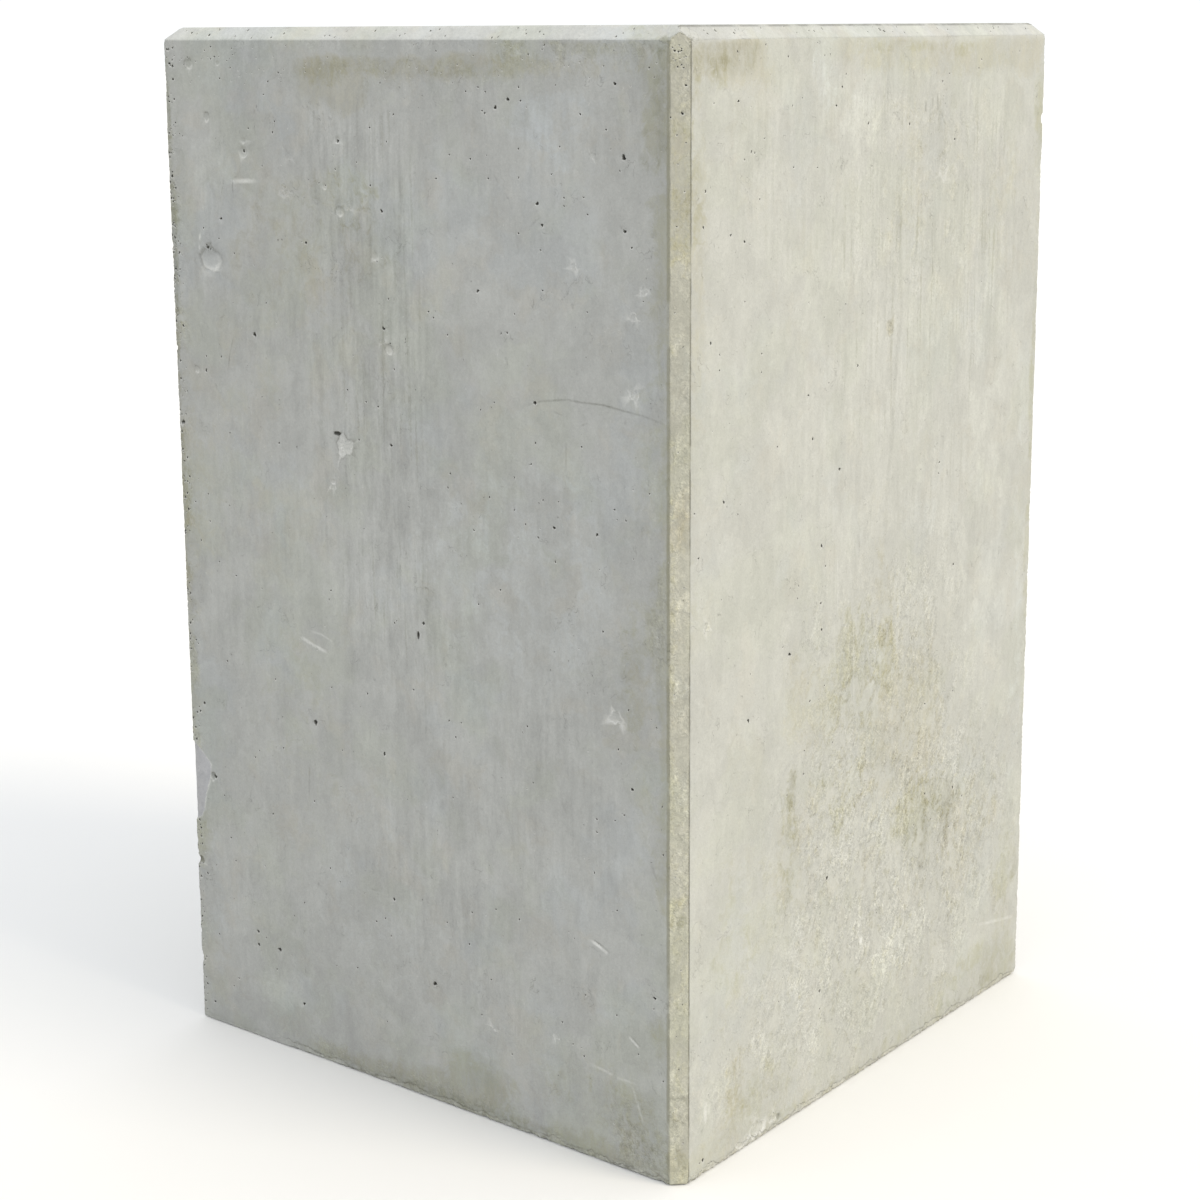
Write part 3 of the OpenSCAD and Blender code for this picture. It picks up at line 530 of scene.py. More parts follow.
def build_skin():
    sk = Skin()
    rng = np.random.default_rng(SEED + 1)
    rings = {}
    for side in (-1, 1):
        rings[side] = [sk.add(np.array([side * RX + SEAT_R * math.cos(t), SEAT_R * math.sin(t), H]))
                       for t in np.arange(CIRCLE) * 2 * math.pi / CIRCLE]
    for name, corners in FACES.items():
        o, u, v, n = face_frame(corners)
        sides = [sk.edge(corners[i], corners[(i + 1) % len(corners)]) for i in range(len(corners))]
        loop = [g for side in sides for g in side[:-1]]
        P = np.array([sk.P[i] for i in loop])
        L2 = np.stack([(P - o) @ u, (P - o) @ v], 1) / MM
        poly = np.array([[(CORNERS[c] - o) @ u, (CORNERS[c] - o) @ v] for c in corners]) / MM
        lo2, hi2 = poly.min(0), poly.max(0)
        wide = min(hi2 - lo2)
        core = {"front": 11.0, "right": 11.0, "rear": 19, "left": 19, "top": 17, "bottom": 40}.get(name, 8)
        bands = [(1.3, 4.2, 2.7), (4.2, 9.5, 4.8), (9.5, 19, 8.0), (19, 1e9, core)]
        if name == "bottom":
            bands = [(1.3, 5, 2.6), (5, 20, 7), (20, 1e9, core)]
        if wide < 30:
            bands = [(1.1, 2.6, 2.2), (2.6, 1e9, 3.4)]
        grids = []
        for d0, d1, s in bands:
            g = hex_grid(lo2, hi2, s, rng)
            d = inside_distance(g, poly)
            grids.append(g[(d >= d0) & (d < d1)])
        grid = np.concatenate(grids)

        def local(q):                                   # feature coordinates to this face's own
            p = in_face(name, q)
            return np.stack([(p - o) @ u, (p - o) @ v], 1) / MM

        extra = []
        holes = HOLES.get(name, [])
        if holes:
            centres = local([(h[0], h[1]) for h in holes])
            for c, h in zip(centres, holes):
                big = max(h[2], h[3])
                far = np.hypot(grid[:, 0] - c[0], grid[:, 1] - c[1])
                grid = grid[far > big * 1.3 + 0.35]
                m = 14 if big > 1.6 else (10 if big > 0.95 else 7)
                ph = rng.uniform(0, 6)
                fs = [(1.0, m), (0.93, m), (0.72, m - 2), (0.36, m // 2), (0.0, 1)]
                if big < 1.6:
                    fs = [(1.0, m), (0.88, m), (0.5, m // 2), (0.0, 1)]
                if big < 0.95:
                    fs = [(1.0, m), (0.86, m - 1), (0.0, 1)]
                for f, k in fs:
                    extra.append(local(hole_ring(h, f, k, ph + f)))
                extra.append(local(hole_ring(h, 1.0 + 1.2 / big, 8 if big > 0.95 else 6, ph)))
        for face, pts, w, depth, tone in SCRATCHES:
            if face != name:
                continue
            plain = depth < 0.1                         # a line of colour only needs fewer points
            line = line_points(pts, 3.6 if plain else 1.8)
            q = local(line)
            t = np.gradient(q, axis=0)
            t /= np.linalg.norm(t, axis=1)[:, None]
            side = np.stack([-t[:, 1], t[:, 0]], 1)
            c2 = local(pts)
            d, _ = line_distance(grid, [tuple(a) for a in c2])
            grid = grid[d > w * 1.7]
            for off in (-1.2, 0.0, 1.2) if plain else (-1.5, -0.55, 0.0, 0.55, 1.5):
                extra.append(q + side * off * w)
        for face, x, z, rx, rz, depth, tone, kind in MARKS:
            if face != name:
                continue
            c = local([(x, z)])[0]
            e = np.hypot((grid[:, 0] - c[0]) / (rx + 1.5), (grid[:, 1] - c[1]) / (rz + 1.5))
            grid = grid[e > 1]
            s = 0.75 if min(rx, rz) < 3 else 1.3
            r = max(rx, rz) + 1.5
            g = hex_grid(c - r, c + r, s, rng)
            e = np.hypot((g[:, 0] - c[0]) / (rx + 1.2), (g[:, 1] - c[1]) / (rz + 1.2))
            extra.append(g[e < 1])
        if name == "front":                              # the chip in the left arris and the notch below it
            c = local([(-300, 258)])[0]
            e = np.hypot((grid[:, 0] - c[0]) / 34, (grid[:, 1] - c[1]) / 46)
            grid = grid[e > 1]
            g = hex_grid(c - 50, c + 50, 1.8, rng)
            e = np.hypot((g[:, 0] - c[0]) / 34, (g[:, 1] - c[1]) / 46)
            extra.append(g[e < 1])
        if name in ("front", "right", "rear", "left"):   # the broken arris at the base
            g = hex_grid(lo2, np.array([hi2[0], 11.0]), 2.2 if name in ("front", "right") else 2.9, rng)
            grid = np.concatenate([grid[grid[:, 1] > 11.0], g])
        near = np.array([HX - 0.0043, -HY + 0.0043, H - 0.0036]) - o    # the crumbled top corner
        if abs(near @ n) < 0.008:
            c = np.array([near @ u, near @ v]) / MM
            grid = grid[np.hypot(grid[:, 0] - c[0], grid[:, 1] - c[1]) > 14]
            g = hex_grid(c - 14, c + 14, 1.35, rng)
            extra.append(g[np.hypot(g[:, 0] - c[0], g[:, 1] - c[1]) < 13.3])
        pts = np.concatenate([grid] + extra) if extra else grid
        d = inside_distance(pts, poly)
        pts = pts[d > 0.45]
        holes_loop = []
        if name == "top":
            keep = np.ones(len(pts), bool)
            p3 = o + (pts * MM) @ np.array([u, v])
            for side in (-1, 1):
                keep &= np.hypot(p3[:, 0] - side * RX, p3[:, 1]) > SEAT_R + 0.0018
            pts = pts[keep]
            for side in (-1, 1):
                Q = np.array([sk.P[i] for i in rings[side]])
                holes_loop.append((rings[side], np.stack([(Q - o) @ u, (Q - o) @ v], 1) / MM))
                for r, m in ((SEAT_R + 0.0022, 100), (SEAT_R + 0.006, 70)):
                    t = np.arange(m) * 2 * math.pi / m + 0.01
                    Q = np.stack([side * RX + r * np.cos(t), r * np.sin(t), np.full(m, H)], 1)
                    pts = np.concatenate([pts, np.stack([(Q - o) @ u, (Q - o) @ v], 1) / MM])
        allp = [L2]
        ids = list(loop)
        cons = [(i, (i + 1) % len(loop)) for i in range(len(loop))]
        for ring, q in holes_loop:
            base = len(ids)
            allp.append(q)
            ids += ring
            cons += [(base + i, base + (i + 1) % len(ring)) for i in range(len(ring))]
        fixed = len(ids)
        allp.append(pts)
        allp = np.concatenate(allp)
        res = delaunay_2d_cdt([Vector(q) for q in allp], cons, [], 1, 1e-6, True)
        verts, _, faces, orig = res[0], res[1], res[2], res[3]
        gid = []
        for i, w in enumerate(verts):
            src = orig[i]
            src = min(src) if src else -1
            if 0 <= src < fixed:
                gid.append(ids[src])
            else:
                gid.append(sk.add(o + (u * w[0] + v * w[1]) * MM))
        V = np.array([(w[0], w[1]) for w in verts])
        own = []
        for f in faces:
            c = V[list(f)].mean(0)
            if name == "top":
                p = o + (u * c[0] + v * c[1]) * MM
                if min(math.hypot(p[0] - RX, p[1]), math.hypot(p[0] + RX, p[1])) < SEAT_R - 1e-5:
                    continue
            a, b, cc = (V[f[0]], V[f[1]], V[f[2]])
            f = list(f)
            if (b[0] - a[0]) * (cc[1] - a[1]) - (b[1] - a[1]) * (cc[0] - a[0]) < 0:
                f = f[::-1]
            own.append([gid[k] for k in f])
        own = tidy_outline(own, sides)
        sk.tris += own
        sk.tri_face += [name] * len(own)
        sk.members[name] = np.array(sorted(set(gid) | set(loop)))
    # the two recesses: seat wall, ledge and round pocket
    for side in (-1, 1):
        prev, kind = rings[side], "seat"
        rows = [(SEAT_R, H - SEAT_D * 0.5), (SEAT_R, H - SEAT_D), (REC_R + 0.0022, H - SEAT_D), (REC_R, H - SEAT_D)]
        zc = H - SEAT_D
        rows += [(REC_R * math.cos(a), zc - REC_R * math.sin(a)) for a in np.radians([2, 10, 20, 30, 40, 50, 60, 69, 77, 84])]
        new = []
        for r, z in rows:
            m = len(prev) if r > 0.012 else len(prev)
            ring = [sk.add(np.array([side * RX + r * math.cos(t), r * math.sin(t), z]))
                    for t in np.arange(m) * 2 * math.pi / m]
            for i in range(m):
                j = (i + 1) % m
                sk.tris += [[prev[i], prev[j], ring[j]], [prev[i], ring[j], ring[i]]]
                sk.tri_face += ["pocket", "pocket"]
            new += ring
            prev = ring
        c = sk.add(np.array([side * RX, 0, zc - REC_R]))
        for i in range(len(prev)):
            sk.tris.append([prev[i], prev[(i + 1) % len(prev)], c])
            sk.tri_face.append("pocket")
        sk.members.setdefault("pocket", [])
        sk.members["pocket"] = np.array(list(sk.members["pocket"]) + new + [c])
    return sk


# ---------------------------------------------------------------- wear, chips and hollows
def outward(name):
    return face_frame(FACES[name])[3]


WEAR = [("fl0", "fl1", "front", "left", "sharp"), ("rr0", "rr1", "right", "rear", "sharp"),
        ("fr0", "fr1", "front", "strip_n", "strip"), ("rf0", "rf1", "strip_n", "right", "strip"),
        ("bl0", "bl1", "rear", "strip_k", "strip"), ("lb0", "lb1", "strip_k", "left", "strip"),
        ("fl1", "fr1", "front", "ch_front", "top"), ("rf1", "rr1", "right", "ch_right", "top"),
        ("rr1", "bl1", "rear", "ch_rear", "top"), ("lb1", "fl1", "left", "ch_left", "top"),
        ("tfl", "tfr", "ch_front", "top", "top"), ("tfr", "trr", "ch_right", "top", "top"),
        ("trr", "trl", "ch_rear", "top", "top"), ("trl", "tfl", "ch_left", "top", "top"),
        ("fl0", "fr0", "front", "bottom", "base"), ("rf0", "rr0", "right", "bottom", "base"),
        ("rr0", "bl0", "rear", "bottom", "base"), ("lb0", "fl0", "left", "bottom", "base"),
        ("fr0", "rf0", "strip_n", "bottom", "base"), ("bl0", "lb0", "strip_k", "bottom", "base"),
        ("fl1", "tfl", "ch_front", "ch_left", "top"), ("rr1", "trr", "ch_right", "ch_rear", "top"),
        ("nt", "tfr", "ch_front", "ch_right", "top"), ("kt", "trl", "ch_left", "ch_rear", "top")]


def wear_width(kind, a, b, P):
    """how far the wear reaches from an edge, in mm, at the points P"""
    n1 = 0.5 + 0.5 * noise(P, 45, 21)
    n2 = 0.5 + 0.5 * noise(P, 160, 22)
    n3 = 0.5 + 0.5 * noise(P, 14, 23)
    if kind == "sharp":
        return 0.5 + 0.9 * n2 + 1.6 * n1 ** 4
    if kind == "strip":
        return 0.5 + 0.5 * n2 + 0.6 * n1 ** 3
    if kind == "top":
        return 0.5 + 0.4 * n2 + 0.9 * n1 ** 5
    w = 0.5 + 0.6 * n1 + 0.4 * n2 + 0.5 * n3
    if {a, b} == {"fl0", "fr0"}:                 # the front's base arris is clean near its left end
        w = w * (0.5 + 0.5 * smooth(-190, -165, P[:, 0] / MM))
    return w


def chips():
    """round scoops out of the arrises: centre in mm, radius in mm"""
    rng = np.random.default_rng(SEED + 2)
    hx, hy, h = HX / MM, HY / MM, H / MM
    out = [(-hx - 1.5, -hy - 1.0, 171, 6.0), (-hx - 2, -hy - 3, 179, 5.5),
           (hx + 3.5, hy + 2.0, 906, 7.5), (hx + 3.0, hy + 2.5, 899, 5.0)]
    for sx, sy, n in ((-1, -1, 74), (1, 1, 34)):
        for _ in range(n):
            R = rng.uniform(3.0, 9.0)
            p = rng.uniform(0.5, 1.6) + (rng.random() > 0.85) * rng.uniform(0.5, 1.6)
            t = rng.uniform(0.5, 1.15)
            d = R - p
            out.append((sx * (hx + d * math.cos(t)), sy * (hy + d * math.sin(t)), rng.uniform(6, h - 18), R))
    # the near top corner is crumbled
    small = np.random.default_rng(SEED + 9)
    at = {k: CORNERS[k] / MM for k in ("fr1", "rf1", "nt", "tfr", "fl1", "rr1", "fr0", "rf0")}
    for a, b, m in (("fr1", "nt", 5), ("rf1", "nt", 5), ("nt", "tfr", 6), ("fr1", "fl1", 5), ("rf1", "rr1", 5), ("fr1", "fr0", 4),
                    ("rf1", "rf0", 4)):
        way = (at[b] - at[a]) / np.linalg.norm(at[b] - at[a])
        reach = min(np.linalg.norm(at[b] - at[a]), 12.0)
        for _ in range(m):
            R = small.uniform(1.8, 4.2)
            out_n = np.array((1.0, -1.0, 0.9)) / 1.676 + small.normal(0, 0.12, 3)
            out.append((*(at[a] + way * small.uniform(0, reach) + out_n * (R - small.uniform(0.5, 1.15))), R))
    out.append((*(at["nt"] + np.array((1.0, -1.0, 0.9)) / 1.676 * 5.0), 6.2))
    # broken bits out of the base arris, seen from each side
    def base(x, y, nx, ny, R, p, tilt):
        d = R - p
        out.append((x + nx * d * math.cos(tilt), y + ny * d * math.cos(tilt), -d * math.sin(tilt), R))
    for x, R, p in ((78, 9, 3.4), (134, 11, 3.6), (150, 9, 3.2), (282, 8, 3.4)):
        base(x, -hy, 0, -1, R, p, 0.7)
    for y, R, p in ((-268, 9, 3.0), (-120, 9, 2.6), (60, 8, 2.4), (168, 10, 3.0), (205, 8, 2.6)):
        base(hx, y, 1, 0, R, p, 0.7)
    for _ in range(34):
        x, R = rng.uniform(-170, hx - 16), rng.uniform(5, 12)
        base(x, -hy, 0, -1, R, rng.uniform(1.2, 2.8), rng.uniform(0.4, 1.0))
    for _ in range(40):
        y, R = rng.uniform(-hy + 16, hy), rng.uniform(5, 11)
        base(hx, y, 1, 0, R, rng.uniform(0.8, 2.4), rng.uniform(0.4, 1.0))
    for _ in range(40):
        x, R = rng.uniform(-hx + 16, hx), rng.uniform(5, 13)
        base(x, hy, 0, 1, R, rng.uniform(1.0, 3.0), rng.uniform(0.4, 1.0))
    for _ in range(40):
        y, R = rng.uniform(-hy, hy - 16), rng.uniform(5, 13)
        base(-hx, y, -1, 0, R, rng.uniform(1.0, 3.0), rng.uniform(0.4, 1.0))
    return out


CHIP = [(-312, 302), (-302, 294), (-292, 287), (-279, 276), (-281, 266), (-282, 257), (-288, 244), (-291, 228), (-296, 219), (-312, 210)]


def inside_poly(q, poly):
    x, y = q[:, 0], q[:, 1]
    c = np.zeros(len(q), bool)
    for i in range(len(poly)):
        (x0, y0), (x1, y1) = poly[i], poly[(i + 1) % len(poly)]
        hit = (y0 > y) != (y1 > y)
        with np.errstate(divide="ignore", invalid="ignore"):
            c ^= hit & (x < (x1 - x0) * (y - y0) / (y1 - y0 + 1e-12) + x0)
    return c


def face_hollows(name, P):
    """inward depth in mm, painted shade for the hollows, tone of the marks with their painted highlights and painted
    shade, and roughness, for points P on one face
    """
    q = face_xy(name, P)
    depth = 0.24 + 0.14 * fbm(P, 3.2, 31, 2) + 0.05 * noise(P, 16, 32)
    hollow_shade, tone, rough = np.zeros(len(P)), np.zeros(len(P)), np.zeros(len(P))
    for h in HOLES.get(name, []):
        big = max(h[2], h[3])
        near = np.abs(q - (h[0], h[1])).max(1) < big * 1.5
        if not near.any():
            continue
        r = hole_shape(h, q[near])
        deep = min(h[2], h[3]) * (1.25 if big > 1.4 else 1.1)
        bowl = np.where(r < 0.995, deep * np.sqrt(np.clip(1 - r * r, 0, 1)), 0)
        depth[near] = np.maximum(depth[near], depth[near].min() + bowl)
        # painted shade: each bug hole gets darker towards its bottom
        hollow_shade[near] = np.maximum(hollow_shade[near], np.where(r < 0.995, 0.55 + 0.45 * np.sqrt(np.clip(1 - r * r, 0, 1)), 0))
        under = np.clip(0.5 + (h[1] - q[near][:, 1]) / big, 0, 1)          # the lower lip of a hole catches the light
        tone[near] += np.where(r > 0.98, 0.60 * smooth(1.0 + 1.6 / big, 1.0, r) * under, 0)
    for face, pts, w, dep, tn in SCRATCHES:
        if face != name:
            continue
        d, s = line_distance(q, pts)
        taper = np.sqrt(np.clip(4 * s * (1 - s), 0, 1)) * 0.8 + 0.2
        taper = taper * (0.75 + 0.35 * noise(P, 120, 41))
        k = smooth(0.75 * w, 0.2 * w, d) * taper
        depth += dep * k
        tone = np.where(k > 0.05, tone + tn * smooth(1.3 * w, 0.3 * w, d) * taper, tone)
    for face, x, z, rx, rz, dep, tn, kind in MARKS:
        if face != name:
            continue
        th = np.arctan2(q[:, 1] - z, q[:, 0] - x)
        e = np.hypot((q[:, 0] - x) / rx, (q[:, 1] - z) / rz)
        wob = 1 + (0.16 if kind in ("flake", "patch") else 0.06) * np.sin(3 * th + x) + \
            (0.12 if kind in ("flake", "patch") else 0.0) * np.sin(5 * th + z) + 0.07 * noise(P, 420, 43)
        e = e / wob
        near = e < 1.4
        # painted shade on the upper side and painted highlight on the lower side of every mark, as if lit from above
        tone -= (0.30 if kind in ("dish", "ring") else 0.16) * np.sin(th) * smooth(0.15, 0.8, e) * smooth(1.2, 0.95, e)
        if kind == "dish":
            k = np.sqrt(np.clip(1 - e * e, 0, 1))
            depth += dep * k
            # a painted highlight round the dish's rim, brightest at its lower edge
            tone += tn * k + 0.30 * np.exp(-((e - 0.98) / 0.14) ** 2) * near * (0.6 - 0.5 * np.sin(th))
        elif kind == "ring":
            e = e * (1 + 0.09 * np.sin(2 * th + 0.7) + 0.06 * np.sin(3 * th + x) + 0.045 * np.sin(5 * th + z) + 0.03 * np.sin(8 * th))
            k = np.exp(-((e - 0.88) / 0.10) ** 2)
            depth += dep * k + 0.15 * smooth(1, 0.8, e)
            # a painted highlight on the lower part of the ring's inner slope and painted shade in its groove at the
            # upper part
            part = np.clip(0.45 - 0.5 * np.sin(th - 0.6) + 0.3 * noise(P, 190, 44), 0.1, 1)
            tone += 0.42 * np.exp(-((e - 0.70) / 0.13) ** 2) * near * part - 0.34 * k * near * (1.1 - part) + tn * smooth(0.7, 0.5, e)
        elif kind == "slot":
            k = np.sqrt(np.clip(1 - e * e, 0, 1))
            depth = np.maximum(depth, 0.3 + dep * k)
            # painted shade: the slot is darkened out to its edge
            hollow_shade = np.maximum(hollow_shade, smooth(1.02, 0.8, e))
        elif kind == "patch":
            k = smooth(1.0, 0.9, e)
            depth += k * (0.35 + 0.35 * noise(P, 260, 45)) + dep * 0.6 * np.exp(-((e - 0.95) / 0.07) ** 2)
            tone += tn * k - 0.45 * np.exp(-((e - 0.97) / 0.06) ** 2) * near
            rough = np.maximum(rough, k)
        else:
            k = smooth(1.0, 0.84, e)
            depth += k * dep * (0.9 + 0.4 * noise(P, 300, 46))
            tone += tn * (0.30 * k + 1.0 * np.exp(-((e - 0.94) / 0.14) ** 2) * near) * (0.8 + 0.5 * noise(P, 240, 47))
            rough = np.maximum(rough, 0.8 * k)
    if name in ("front", "right", "rear", "left"):
        # the casting's open side: a rough band along the base with a wavy broken lip
        s_ = np.stack([P[:, 0], P[:, 1], P[:, 2] * 0.25], 1)
        w = 5.8 + 3.4 * noise(s_, 30, 81) + 2.2 * noise(s_, 110, 82) + 1.0 * noise(s_, 320, 83)
        if name == "front":
            w = w * 1.15 * smooth(-186, -160, q[:, 0]) - 2.5 * smooth(-160, -190, q[:, 0])
        if name == "right":
            w = w * 0.75 + 1.2 * noise(s_, 16, 84)
        band = smooth(w + 0.9, w - 0.7, q[:, 1])
        depth += band * (1.15 + 0.55 * noise(P, 210, 85) + 0.35 * noise(P, 480, 86))
        rough = np.maximum(rough, band)
        tone += 0.16 * band * (0.60 + 0.8 * noise(P, 260, 88))
    if name == "front":
        d, s = line_distance(q, CHIP)
        # painted highlight along the chip's broken rim
        tone += 0.75 * np.exp(-(d / 1.1) ** 2) * (q[:, 0] > -303.5) * (0.8 + 0.4 * noise(P, 160, 89))
    if name.startswith("ch_"):
        o, u, v, n = face_frame(FACES[name])
        y = ((np.asarray(P) - o) @ v) / MM
        tone -= 0.42 * np.exp(-(y / 0.9) ** 2) * (0.6 + 0.5 * noise(P, 70, 91))
        depth += 0.12 * noise(P, 120, 92) * smooth(0, 3, y)
        if name == "ch_right":
            tone -= 0.55 * np.exp(-((16.6 - y) / 0.8) ** 2) * smooth(-0.35, 0.25, noise(P, 22, 93))
    if name in ("strip_n", "strip_k"):
        w = np.linalg.norm(CORNERS["rf0"] - CORNERS["fr0"]) / MM
        o, u, v, n = face_frame(FACES[name])
        x = ((np.asarray(P) - o) @ u) / MM
        z = q[:, 1]
        # the fillet strip stood a little proud of the mould's plates: the face is set in, with a lip at each side
        lip = 0.45 * smooth(0.2, 1.3, x) * smooth(0.2, 1.3, w - x)
        lip *= smooth(81.2, 83.4, z) if name == "strip_n" else 1.0
        depth += lip + 0.18 * noise(P, 90, 51) * smooth(0.5, 3, x) * smooth(0.5, 3, w - x)
        edge = np.exp(-((w - x - 0.6) / 0.5) ** 2) + 0.45 * np.exp(-((x - 0.5) / 0.5) ** 2)
        tone -= 0.5 * edge * (0.65 + 0.35 * noise(P, 60, 52))
        if name == "strip_n":
            tone -= 0.55 * np.exp(-((z - 82.6) / 1.0) ** 2) * smooth(0, 2, x)
            for pts, t in (([(4, 56), (10.2, 68.5), (14.7, 55)], 0.9), ([(9.3, 110), (9.0, 100)], 0.5), ([(16, 79), (17, 60)], 0.6)):
                d, s = line_distance(np.stack([x, z], 1), pts)
                k = smooth(1.1, 0.2, d)
                depth += 0.9 * t * k
                tone -= 0.7 * t * k
    return depth, hollow_shade, tone, rough


